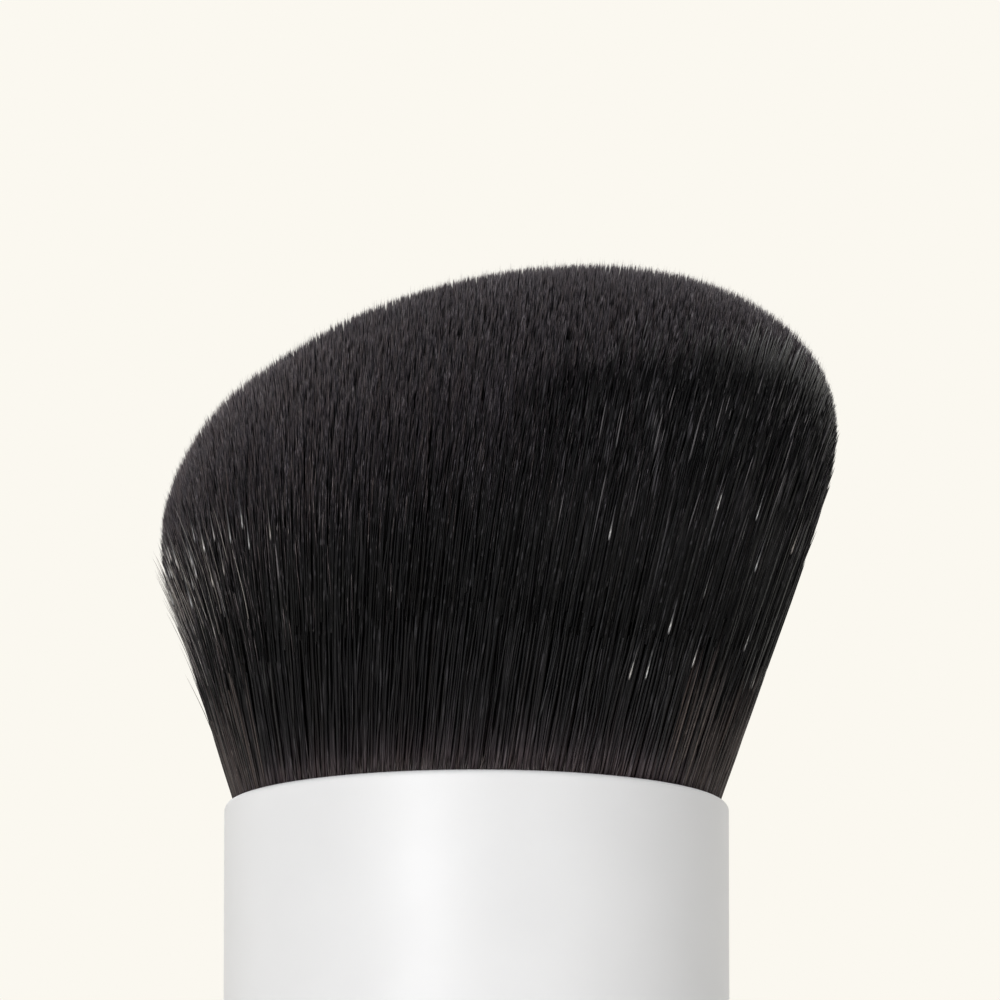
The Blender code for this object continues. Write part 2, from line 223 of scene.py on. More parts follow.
@dataclass(frozen=True)
class Grain:
    """Fine lumps or cells that stand out of a surface."""

    size_mm: float
    depth_mm: float
    detail: float = 0.0
    pattern: Pattern = Pattern.LUMPS

    def add(self, work: Work) -> Socket:
        """Adds it to a material.

        Args:
            work: The material.

        Returns:
            Its pattern.
        """
        kind, output = self.pattern.value
        inputs = {"Vector": work.place, "Scale": per_metre(self.size_mm), "Detail": self.detail}
        drawn = add_node(work.tree, kind, inputs).outputs[output]
        work.raise_by(drawn, self.depth_mm)
        return drawn


@dataclass(frozen=True)
class Finish:
    """What every finish has: its name, the numbers that are the same all over it, and its patterns."""

    name: str
    roughness: float
    ior: float = 1.5
    metallic: float = 0.0
    coordinates: Coordinates = Coordinates.OBJECT
    clouds: Clouds | None = None
    grain: Grain | None = None

    def material(self) -> bpy.types.Material:
        """Makes the finish's material, or finds it if it is made.

        Returns:
            The material.
        """
        if self.name in bpy.data.materials:
            return bpy.data.materials[self.name]
        made = bpy.data.materials.new(self.name)
        made.use_nodes = True
        tree = made.node_tree
        shader = tree.nodes["Principled BSDF"]
        shader.inputs["Roughness"].default_value = self.roughness
        shader.inputs["Metallic"].default_value = self.metallic
        if not self.metallic:
            shader.inputs["IOR"].default_value = self.ior
        place = add_node(tree, "TexCoord").outputs[self.coordinates.value]
        self.paint(Work(tree, shader, place))
        return made

    def paint(self, work: Work) -> None:
        """Adds the clouds and the grain, and in some finishes more.

        Args:
            work: The material.
        """
        if self.clouds:
            work.colour(self.clouds.add(work))
        if self.grain:
            self.grain.add(work)


@dataclass(frozen=True)
class SatinLacquer(Finish):
    """Satin polyurethane lacquer, sprayed over primer on an aluminium tube.

    It gives the eye an even, neutral white with one broad, soft highlight and a faint orange peel.
    """

    clouds: Clouds = Clouds(12, ((0.3, "EAEAE9"), (0.7, "EEEEED")))
    grain: Grain = Grain(0.9, 0.003, detail=1.0)
    # How wide the patches of glossier and duller lacquer are, how far either is from the roughness in
    # the middle, and the noise at which each is full.
    haze_mm: float = 4.0
    haze: float = 0.03
    haze_limits: tuple[float, float] = (0.3, 0.7)

    def paint(self, work: Work) -> None:
        """Adds the clouds and the peel, and a gloss that isn't quite even.

        Args:
            work: The material.
        """
        super().paint(work)
        inputs = {"Vector": work.place, "Scale": per_metre(self.haze_mm), "Detail": 2.0}
        patches = add_node(work.tree, "TexNoise", inputs).outputs["Fac"]
        low, high = self.haze_limits
        limits = {"To Min": self.roughness - self.haze, "To Max": self.roughness + self.haze}
        inputs = {"Value": patches, "From Min": low, "From Max": high, **limits}
        gloss = add_node(work.tree, "MapRange", inputs)
        work.tree.links.new(gloss.outputs["Result"], work.shader.inputs["Roughness"])


@dataclass(frozen=True)
class MouldedAbs(Finish):
    """White ABS, injection moulded against a spark-eroded steel face.

    It gives the eye a white a little warmer than the lacquer, with an even, fine grain.
    """

    clouds: Clouds = Clouds(9, ((0.3, "E6E5E1"), (0.7, "EEEDEA")))
    # A real grain of this kind is about 0.1 mm wide, which is too fine to show.
    grain: Grain = Grain(0.35, 0.02, detail=3.0)


@dataclass(frozen=True)
class MouldedElastomer(Finish):
    """Grey thermoplastic elastomer, moulded, with a little dust on it.

    It gives the eye a matt grey with paler patches, fine pores and no clear highlight.
    """

    clouds: Clouds = Clouds(6, ((0.35, "8F8F8D"), (0.7, "A3A3A0")), detail=6.0)
    grain: Grain = Grain(0.5, 0.02, pattern=Pattern.CELLS)


@dataclass(frozen=True)
class TaperedFilament(Finish):
    """Black PBT filament, drawn and then ground to a soft point.

    It gives the eye near-black threads with short paler streaks, painted highlights where they catch the
    light. The ground tips scatter light, so the crown looks velvety and brownish grey; their paler colour is
    partly their own and partly painted light from above. The roots are painted paler with the light that the
    white rim throws on them. The map's U holds each filament's own shade, and its V runs from the root at 0
    to the tip at 1.
    """

    ior: float = 1.55
    coordinates: Coordinates = Coordinates.MAP
    specular: float = 0.16
    # Places from root to tip, with the filament's own colour there and the colour of a streak, which is a
    # painted highlight. The paler roots are painted light from the white rim, and the paler tips are partly
    # painted light from above.
    along: tuple[tuple[float, str, str], ...] = (
        (0.0, "6A5F61", "746A6C"),
        (0.012, "564C4E", "665C5E"),
        (0.04, "322D2F", "4A4547"),
        (0.09, "1C1B1C", "363436"),
        (0.3, "161617", "302F31"),
        (0.7, "121213", "323133"),
        (0.9, "131214", "3C3A3D"),
        (0.95, "201E21", "58545A"),
        (0.98, "4C464A", "8A8387"),
        (1.0, "7C7378", "A89FA3"),
    )
    # Each is the shade of some of the filaments, which their own colour is multiplied by.
    shades: str = "E8E6E8 CCCCD0 F0EAE6 D6DADE FFFFFF DED4D0 C4C4C6 DEE2E8 D0CAC6 F4F4F8 C6C6C8 E8E6E8"
    # How many streaks of painted highlight there are across the map and along it. The last 9 mm of a filament
    # have three quarters of the map's height, so 16 along it are about 0.75 mm long each.
    painted_streaks: tuple[float, float] = (60.0, 16.0)
    # The noise at which a streak of painted highlight starts, and at which it is full.
    painted_streak_limits: tuple[float, float] = (0.58, 0.78)

    def paint(self, work: Work) -> None:
        """Adds the colour along a filament with its painted light at root and tip, each filament's own shade,
        and the streaks of painted highlight.

        Args:
            work: The material.
        """
        tree, place = work.tree, work.place
        work.shader.inputs["Specular IOR Level"].default_value = self.specular
        parts = add_node(tree, "SeparateXYZ", {"Vector": place})
        own = add_node(tree, "ValToRGB", {"Fac": parts.outputs["Y"]})
        lit = add_node(tree, "ValToRGB", {"Fac": parts.outputs["Y"]})
        each = add_node(tree, "ValToRGB", {"Fac": parts.outputs["X"]})
        shades = self.shades.split()
        steps = [(i / (len(shades) - 1), shade) for i, shade in enumerate(shades)]
        colours = {0: 1.0, 6: set_stops(own, [(v, c) for v, c, _ in self.along]), 7: set_stops(each, steps)}
        shaded = add_node(tree, "Mix", colours, data_type="RGBA", blend_type="MULTIPLY")

        # The streaks are painted highlights: paler colours mixed in where the stretched noise is high.
        stretched = add_node(tree, "Mapping", {"Vector": place, "Scale": (*self.painted_streaks, 1.0)})
        spots = {"Vector": stretched.outputs["Vector"], "Scale": 1.0, "Detail": 1.0}
        noise = add_node(tree, "TexNoise", spots, noise_dimensions="2D")
        low, high = self.painted_streak_limits
        limits = {"Value": noise.outputs["Fac"], "From Min": low, "From Max": high}
        painted_streak = add_node(tree, "MapRange", limits, interpolation_type="SMOOTHSTEP")
        painted_highlight = set_stops(lit, [(v, c) for v, _, c in self.along])
        mixed = {0: painted_streak.outputs["Result"], 6: shaded.outputs[2], 7: painted_highlight}
        work.colour(add_node(tree, "Mix", mixed, data_type="RGBA").outputs[2])


@dataclass(frozen=True)
class PackedFilament(Finish):
    """The filaments inside the tuft, too close together to be told apart.

    It gives the eye the black that shows between the outer filaments, with streaks that run up it.
    """

    # A real filament is about 0.07 mm thick, which is too fine to show.
    clouds: Clouds = Clouds(0.3, ((0.3, "0B0B0C"), (0.7, "161517")), upright=0.05)


@dataclass(frozen=True)
class Beech(Finish):
    """Steamed beech, turned and lightly oiled.

    It gives the eye a pinkish tan with straight grain and the short dark flecks of its rays.
    """

    clouds: Clouds = Clouds(1.6, ((0.3, "BD9263"), (0.7, "CFAA7C")), detail=3.0, upright=0.04)
    flecks: Clouds = Clouds(0.5, ((0.36, "8E6238"), (0.4, "FFFFFF")), upright=0.3)
    fleck_strength: float = 0.7

    def paint(self, work: Work) -> None:
        """Adds the growth rings, and the flecks that lie along the grain.

        Args:
            work: The material.
        """
        colours = {0: self.fleck_strength, 6: self.clouds.add(work), 7: self.flecks.add(work)}
        mixed = add_node(work.tree, "Mix", colours, data_type="RGBA", blend_type="MULTIPLY")
        work.colour(mixed.outputs[2])


@dataclass(frozen=True)
class TurnedMetal(Finish):
    """Metal turned on a lathe.

    It gives the eye fine rings round the axis, where the tool went, on the metal's own colour.
    """

    metallic: float = 1.0
    clouds: Clouds = Clouds(2.5, ((0.3, "B4B6B8"), (0.7, "C2C4C6")), detail=4.0)
    # A real tool moves on by about 0.1 mm a turn, which is too fine to show.
    pitch_mm: float = 0.4
    tool_depth_mm: float = 0.004

    def paint(self, work: Work) -> None:
        """Adds the clouds and the tool's rings.

        Args:
            work: The material.
        """
        super().paint(work)
        turned = {"Vector": work.place, "Scale": wave_scale(self.pitch_mm), "Distortion": 0.3}
        kinds = {"wave_type": "RINGS", "rings_direction": "SPHERICAL"}
        rings = add_node(work.tree, "TexWave", turned, **kinds)
        work.raise_by(rings.outputs["Fac"], self.tool_depth_mm)


@dataclass(frozen=True)
class OpenCellFoam(Finish):
    """Charcoal polyurethane foam, die cut.

    It gives the eye a dark, matt sponge full of small cells, dark inside and paler on their walls.
    """

    grain: Grain = Grain(0.6, 0.2, pattern=Pattern.CELLS)
    walls: Stops = ((0.15, "1E1E20"), (0.6, "47474A"))

    def paint(self, work: Work) -> None:
        """Adds the cells, and colours them by how deep they are."""
        ramp = add_node(work.tree, "ValToRGB", {"Fac": self.grain.add(work)})
        work.colour(set_stops(ramp, self.walls))


@dataclass(frozen=True)
class MouldedNylon(Finish):
    """Black nylon 6, injection moulded.

    It gives the eye a soft black, with the slight mottle of a part that takes up water and a fine grain.
    """

    clouds: Clouds = Clouds(3, ((0.3, "19191A"), (0.7, "222223")), detail=4.0)
    grain: Grain = Grain(0.3, 0.015, detail=2.0)


@dataclass(frozen=True)
class CastResin(Finish):
    """Amber epoxy resin, poured and cured.

    It gives the eye a deep, glossy amber with small bubbles.
    """

    clouds: Clouds = Clouds(4, ((0.3, "7A5A28"), (0.7, "97743E")))
    # How far apart the bubbles are, and how deep.
    bubble_mm: float = 1.2
    bubble_depth_mm: float = 0.05

    def paint(self, work: Work) -> None:
        """Adds the amber's depth and the bubbles.

        Args:
            work: The material.
        """
        super().paint(work)
        inputs = {"Vector": work.place, "Scale": per_metre(self.bubble_mm)}
        bubbles = add_node(work.tree, "TexVoronoi", inputs).outputs["Distance"]
        ramp = add_node(work.tree, "ValToRGB", {"Fac": bubbles})
        work.raise_by(set_stops(ramp, ((0.1, "000000"), (0.16, "FFFFFF"))), self.bubble_depth_mm)


@dataclass(frozen=True)
class WaxedCord(Finish):
    """Waxed linen cord, wound tight.

    It gives the eye a pale straw with slanted fibres on each turn.
    """

    # How wide a fibre is, how deep the gaps between them are, and how far they are slanted, in radians.
    fibre_mm: float = 0.3
    fibre_depth_mm: float = 0.04
    slant: float = 0.6

    def paint(self, work: Work) -> None:
        """Adds the fibres, which slant across the turns.

        Args:
            work: The material.
        """
        inputs = {"Vector": work.place, "Rotation": (self.slant, self.slant, 0.0)}
        slanted = add_node(work.tree, "Mapping", inputs).outputs["Vector"]
        inputs = {"Vector": slanted, "Scale": wave_scale(self.fibre_mm), "Distortion": 2.0}
        fibres = add_node(work.tree, "TexWave", inputs).outputs["Fac"]
        ramp = add_node(work.tree, "ValToRGB", {"Fac": fibres})
        work.colour(set_stops(ramp, ((0.2, "9E947E"), (0.8, "C6BCA8"))))
        work.raise_by(fibres, self.fibre_depth_mm)


LACQUER = SatinLacquer("satin_white_lacquer", roughness=0.44)
ABS = MouldedAbs("moulded_white_abs", roughness=0.42, ior=1.54)
ELASTOMER = MouldedElastomer("moulded_grey_elastomer", roughness=0.75)
FILAMENT = TaperedFilament("tapered_black_filament", roughness=0.38)
PACKED = PackedFilament("packed_black_filament", roughness=0.8, ior=1.55)
# The same filament with painted sheen: longer, softer streaks of grey, a painted highlight where it is bent
# toward the light.
SHEEN = TaperedFilament(
    "painted_sheen_black_filament",
    roughness=0.4,
    along=((0.25, "141315", "2C2B2D"), (0.6, "1E1D1F", "504E50"), (1.0, "3A3739", "6C6869")),
    shades="FFFFFF B4B2B4 E0DCDA FFFFFF",
    painted_streaks=(60.0, 2.6),
    painted_streak_limits=(0.36, 0.62),
)
# The same filament where it lies combed over the tall shoulder: a sleek, deeper black.
LONG = TaperedFilament(
    "combed_black_filament",
    roughness=0.38,
    along=(
        (0.3, "111112", "272628"),
        (0.7, "0E0E0F", "343235"),
        (0.93, "0F0F10", "424043"),
        (0.98, "171618", "403D40"),
        (1.0, "2E2A2C", "504C4E"),
    ),
    specular=0.11,
    painted_streaks=(60.0, 5.0),
)
# The finest split tips: a soft grey haze over the crown, whose pale tips are partly their own colour and
# partly painted light.
FUZZ = TaperedFilament(
    "frayed_black_filament",
    roughness=0.5,
    along=(
        (0.0, "201F20", "444244"),
        (0.8, "343134", "5C585A"),
        (0.93, "5C5556", "8C8282"),
        (1.0, "9C9291", "C4BBB8"),
    ),
)
# The roots with painted light: a dull, brownish grey, painted paler low down, that darkens upwards.
ROOTS = TaperedFilament(
    "painted_light_root_filament",
    roughness=0.45,
    along=(
        (0.0, "746A66", "7C726E"),
        (0.4, "625955", "6A615D"),
        (0.75, "463F3D", "504946"),
        (0.9, "302C2B", "3A3634"),
        (1.0, "1C1B1B", "2E2B2B"),
    ),
)
# The roots' first millimetres: a pale line just above the rim, painted light that the white rim throws on
# them.
COLLAR = TaperedFilament(
    "rim_lit_painted_filament",
    roughness=0.45,
    along=((0.8, "8A807E", "938A88"), (0.92, "5A5351", "6A6361"), (1.0, "2A2828", "383536")),
)
# A filament with a painted glint: a painted highlight, nearly white at one place, and dark again within 1 mm.
GLINT = TaperedFilament(
    "painted_glint_filament",
    roughness=0.3,
    specular=0.4,
    along=(
        (0.75, "4A484A", "5A5859"),
        (0.78, "D0CECA", "F0EEEA"),
        (0.81, "9A9894", "BCBAB6"),
        (0.86, "4E4C4D", "686665"),
        (1.0, "28272A", "403E40"),
    ),
)
# Single hairs that stand away from the low side, so fine that the light comes through: pale grey.
WISP = TaperedFilament(
    "fine_pale_filament",
    roughness=0.5,
    along=((0.0, "6A6664", "8A8684"), (1.0, "A8A49F", "D0CCC6")),
    shades="FFFFFF C8C4C0 F0ECE8 FFFFFF",
)

FOAM = OpenCellFoam("open_cell_charcoal_foam", roughness=0.95)
# Zinc gives steel a paler, brighter face.
ZINC = TurnedMetal(
    "bright_zinc_plating",
    roughness=0.28,
    clouds=Clouds(2.5, ((0.3, "BEC0C2"), (0.7, "CDCFD0")), detail=4.0),
)
BRASS = TurnedMetal(
    "turned_brass",
    roughness=0.34,
    clouds=Clouds(2.5, ((0.3, "B08D48"), (0.7, "C09C56")), detail=4.0),
)
# The sealed pieces keep their CAD meshes and only take a finish.
SEALED_FINISHES = {
    "handle_core": Beech("turned_oiled_beech", roughness=0.6),
    "foam_disc_lower": FOAM,
    "foam_disc_upper": FOAM,
    "ballast_weight": TurnedMetal("turned_mild_steel", roughness=0.38),
    "clamp_screw": ZINC,
    "clamp_washer": ZINC,
    "threaded_insert": BRASS,
    "knot_cup": MouldedNylon("moulded_black_nylon", roughness=0.5, ior=1.53),
    "resin_bed": CastResin("cast_amber_resin", roughness=0.22, ior=1.56),
    "root_binding": WaxedCord("waxed_linen_cord", roughness=0.7, ior=1.45),
}


def deselect() -> None:
    """Deselects every object, because an operator acts on all that is selected."""
    bpy.ops.object.select_all(action="DESELECT")


def select_only(piece: Piece) -> None:
    """Makes a piece the only one selected, and the active one.

    Args:
        piece: The piece.
    """
    deselect()
    piece.select_set(True)
    bpy.context.view_layer.objects.active = piece


def add_cylinder(name: str, radius: float, low: float, high: float, sides: int, ends: bool) -> Piece:
    """Adds an upright cylinder on the brush's axis, as the start of a piece.

    Args:
        name: The piece's name.
        radius: Its radius.
        low: The height of its lower end.
        high: The height of its upper end.
        sides: How many sides it has.
        ends: Whether its ends are closed.

    Returns:
        The new object, at the origin and the only one selected.
    """
    deselect()
    bpy.ops.mesh.primitive_cylinder_add(
        vertices=sides,
        radius=radius,
        depth=high - low,
        end_fill_type="NGON" if ends else "NOTHING",
        location=(0, 0, (low + high) / 2),
    )
    piece = bpy.context.active_object
    piece.name = piece.data.name = name
    bpy.ops.object.transform_apply(location=True, rotation=True, scale=True)
    return piece


@contextmanager
def shaping(piece: Piece) -> Iterator[None]:
    """Opens a piece in edit mode with nothing selected, and closes it again.

    Args:
        piece: The mesh object.

    Yields:
        Nothing.
    """
    select_only(piece)
    bpy.ops.object.mode_set(mode="EDIT")
    bpy.ops.mesh.select_all(action="DESELECT")
    yield
    bpy.ops.object.mode_set(mode="OBJECT")


def pick(piece: Piece, kind: str, wanted: Callable[[object], bool]) -> None:
    """Selects the edges or faces that pass a test, and nothing else, in edit mode.

    Args:
        piece: The mesh object.
        kind: "EDGE" or "FACE".
        wanted: The test, which gets one edge or face.
    """
    bpy.ops.mesh.select_mode(type=kind)
    bpy.ops.mesh.select_all(action="DESELECT")
    mesh = bmesh.from_edit_mesh(piece.data)
    for part in mesh.edges if kind == "EDGE" else mesh.faces:
        if wanted(part):
            part.select_set(True)
    bmesh.update_edit_mesh(piece.data)


def pick_flat(piece: Piece, height: float, inner: float, outer: float) -> None:
    """Selects the flat faces at one height whose middles lie between two radii, in edit mode.

    Args:
        piece: The mesh object.
        height: The faces' height.
        inner: The smaller radius.
        outer: The larger radius.
    """

    def on_flat(face: bmesh.types.BMFace) -> bool:
        """Tells whether a face is one of them.

        Args:
            face: The face.

        Returns:
            True if it is.
        """
        middle = face.calc_center_median()
        level = abs(middle.z - height) < NEAR and abs(face.normal.z) > UPRIGHT
        return level and inner <= middle.xy.length <= outer

    pick(piece, "FACE", on_flat)


def round_ring(piece: Piece, radius: float, height: float, rounding: float, steps: int) -> None:
    """Rounds over one ring of edges, in edit mode.

    Args:
        piece: The mesh object.
        radius: The ring's radius.
        height: Its height.
        rounding: The radius of the rounding.
        steps: How many faces it has across it.
    """

    def on_ring(edge: bmesh.types.BMEdge) -> bool:
        """Whether both ends of an edge lie on the ring."""
        return all(abs(v.co.xy.length - radius) < NEAR and abs(v.co.z - height) < NEAR for v in edge.verts)

    pick(piece, "EDGE", on_ring)
    bpy.ops.mesh.bevel(offset=rounding, segments=steps, profile=0.5, affect="EDGES")


def inset_and_move(inset: float, rise: float) -> None:
    """Insets the selected faces, and moves what is left of them up or down, in edit mode."""
    bpy.ops.mesh.inset(thickness=inset)
    bpy.ops.mesh.extrude_region_move(TRANSFORM_OT_translate={"value": (0, 0, rise)})


def cut_level(piece: Piece, height: float) -> None:
    """Cuts a ring of edges round a piece at a height, in edit mode, to hold its shading there."""
    bpy.ops.mesh.select_all(action="SELECT")
    bpy.ops.mesh.bisect(plane_co=(0, 0, height), plane_no=(0, 0, 1))


def smooth(piece: Piece, degrees: float = 35) -> None:
    """Shades a piece smooth, apart from edges sharper than an angle."""
    select_only(piece)
    bpy.ops.object.shade_smooth_by_angle(angle=math.radians(degrees))


def hand_over(piece: Piece, finish: Finish, node: str) -> None:
    """Gives a finished piece its material and its place in the part.

    Args:
        piece: The finished mesh object.
        finish: What it is finished in.
        node: The CAD node that it stands for.
    """
    piece.data.materials.clear()
    piece.data.materials.append(finish.material())
    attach(piece, BODY)
    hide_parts(node)
    piece.data.calc_loop_triangles()
    log.info("%s: %d triangles, stands for %s", piece.name, len(piece.data.loop_triangles), node)


@dataclass
class Casing:
    """The two lengths of lacquered aluminium tube, with the fine joint between them."""

    radius: float = FERRULE_HIGH.x
    foot_level: float = HANDLE_LOW.z
    # The joint runs from the lower tube's top to the upper tube's foot.
    seam_low: float = HANDLE_HIGH.z
    seam_high: float = FERRULE_LOW.z
    rim_level: float = FERRULE_HIGH.z
    wall: float = 0.5 * MM
    lip: float = 0.45 * MM
    seam_rounding: float = 0.15 * MM
    # How far past a rounding a ring of edges holds the shading of the straight wall.
    hold: float = 0.25 * MM
    sides: int = 192
    # How many faces the roundings have across them.
    low_steps: int = 6
    high_steps: int = 8

    def tube(self, name: str, low: float, high: float, low_rounding: float, high_rounding: float) -> Piece:
        """Models one length of tube: a cylinder with a wall inside it, and its outer edges rounded.

        Args:
            name: The piece's name.
            low: The height of its lower end.
            high: The height of its upper end.
            low_rounding: How much its lower edge is rounded.
            high_rounding: How much its upper edge is rounded.

        Returns:
            The piece.
        """
        piece = add_cylinder(name, self.radius, low, high, self.sides, ends=False)
        select_only(piece)
        inwards = piece.modifiers.new("wall", "SOLIDIFY")
        inwards.thickness = self.wall
        inwards.offset = -1.0
        bpy.ops.object.modifier_apply(modifier=inwards.name)
        with shaping(piece):
            round_ring(piece, self.radius, low, low_rounding, self.low_steps)
            round_ring(piece, self.radius, high, high_rounding, self.high_steps)
            cut_level(piece, low + low_rounding + self.hold)
            cut_level(piece, high - high_rounding - self.hold)
        smooth(piece)
        return piece

    def build(self) -> None:
        """Builds and dresses both tubes."""
        ferrule = self.tube("ferrule_shell", self.seam_high, self.rim_level, self.seam_rounding, self.lip)
        hand_over(ferrule, LACQUER, "ferrule")
        handle = self.tube("handle_shell", self.foot_level, self.seam_low, self.lip, self.seam_rounding)
        hand_over(handle, LACQUER, "handle_tube")


@dataclass
class Base:
    """The moulded plug that closes the casing, and the soft pad in it that the brush stands on."""

    plug_radius: float = PLUG_HIGH.x
    plug_level: float = PLUG_LOW.z
    # How much wider the recess is than the pad in it.
    recess_gap: float = 0.3 * MM
    recess_depth: float = 1.0 * MM
    floor: float = 1.6 * MM
    # How far the skirt stands back from the flange's edge.
    skirt_step: float = 2.5 * MM
    skirt_wall: float = 1.6 * MM
    skirt_top: float = PLUG_HIGH.z
    plug_rounding: float = 0.5 * MM
    plug_steps: int = 6
    small_rounding: float = 0.15 * MM
    small_steps: int = 3
    pad_radius: float = PAD_HIGH.x
    pad_thickness: float = PAD_HIGH.z
    pad_rounding: float = 0.4 * MM
    pad_steps: int = 5
    # The outer radii of the rings that are pressed in the pad's underside.
    grooves: tuple[float, ...] = (12.2 * MM, 9.4 * MM, 6.6 * MM, 3.8 * MM)
    groove_width: float = 0.8 * MM
    groove_depth: float = 0.3 * MM
    groove_rounding: float = 0.075 * MM
    groove_steps: int = 2
    sides: int = 144

    def plug(self) -> Piece:
        """Models the plug: a flange with a recess below it and a skirt above it.

        Returns:
            The piece.
        """
        top = self.plug_level + self.recess_depth + self.floor
        skirt_length = self.skirt_top - top
        skirt_radius = self.plug_radius - self.skirt_step
        recess_radius = self.pad_radius + self.recess_gap
        piece = add_cylinder(
            "base_plug_moulding", self.plug_radius, self.plug_level, top, self.sides, ends=True
        )
        with shaping(piece):
            pick_flat(piece, self.plug_level, 0, self.plug_radius)
            inset_and_move(self.plug_radius - recess_radius, self.recess_depth)
            pick_flat(piece, top, 0, self.plug_radius)
            inset_and_move(self.skirt_step, skirt_length)
            inset_and_move(self.skirt_wall, -skirt_length)
            round_ring(piece, self.plug_radius, self.plug_level, self.plug_rounding, self.plug_steps)
            small = (self.small_rounding, self.small_steps)
            round_ring(piece, recess_radius, self.plug_level, *small)
            round_ring(piece, skirt_radius, self.skirt_top, *small)
            round_ring(piece, skirt_radius - self.skirt_wall, self.skirt_top, *small)
        smooth(piece)
        return piece

    def pad(self) -> Piece:
        """Models the pad: a disc with an eased edge and shallow rings pressed in its underside.

        Returns:
            The piece.
        """
        width, thickness = self.groove_width, self.pad_thickness
        piece = add_cylinder("base_pad_moulding", self.pad_radius, 0, thickness, self.sides, ends=True)
        with shaping(piece):
            pick_flat(piece, 0, 0, self.pad_radius)
            reached = self.pad_radius
            for outer in self.grooves:
                bpy.ops.mesh.inset(thickness=reached - outer)
                bpy.ops.mesh.inset(thickness=width)
                reached = outer - width
            for outer in self.grooves:
                pick_flat(piece, 0, outer - width, outer)
                pressed = {"value": (0, 0, self.groove_depth)}
                bpy.ops.mesh.extrude_region_move(TRANSFORM_OT_translate=pressed)
            for outer in self.grooves:
                for radius in (outer, outer - width):
                    round_ring(piece, radius, 0, self.groove_rounding, self.groove_steps)
            round_ring(piece, self.pad_radius, 0, self.pad_rounding, self.pad_steps)
            round_ring(piece, self.pad_radius, thickness, self.small_rounding, self.small_steps)
        smooth(piece)
        return piece

    def build(self) -> None:
        """Builds and dresses the plug and the pad."""
        hand_over(self.plug(), ABS, "base_plug")
        hand_over(self.pad(), ELASTOMER, "base_pad")


@dataclass
class Lay:
    """How a group of filaments is laid: where they stand in the tuft, and how unevenly."""

    name: str
    count: int
    # The shares of the root's radius between which they stand.
    inner: float
    outer: float
    # Where the modelled part of a filament starts, as a distance below its tip. None is at its root.
    below_tip: float | None
    # The places of its rings along that part, from 0 to 1. The tip at 1 is added to them.
    rings: tuple[float, ...]
    finish: Finish = FILAMENT
    diameter: float = 0.13 * MM
    # How far inside the crown the tips end, as a spread; and how many of them stand out of it, and how far.
    short: float = 0.14 * MM
    out_share: float = 0.0
    out_by: float = 0.3 * MM
    # The shares of the way to the crown between which they end.
    ends: tuple[float, float] = (1.0, 1.0)
    # How much farther they run over the crown, drawn in from the front or the back to lie on it.
    over: tuple[float, float] = (0.0, 0.0)
    # How strongly those that run over the crown thin out upwards; 1 spreads their ends evenly.
    thinning: float = 1.0
    # How far the tips lean, how far filaments sway sideways, and how far they dip in behind the others.
    lean: float = 0.15 * MM
    sway: float = 0.0
    dip: float = 0.0
    # How far the tips stand out to the side, and how far the whole filaments do.
    splay: tuple[float, float] = (0.0, 0.0)
    proud: float = 0.0
    # How strongly the tips are drawn to their clumps, and the share of them that have their clump's shade.
    pull: float = 0.38
    alike: float = 0.7
    # The side of the tuft that they are on, in degrees: the middle and how far each way.
    side: tuple[float, float] = (0.0, 180.0)
    seed: int = 1
    pieces: int = 1


GLINT_RINGS = (0.0, 0.06, 0.12, 0.24, 0.45, 0.7)
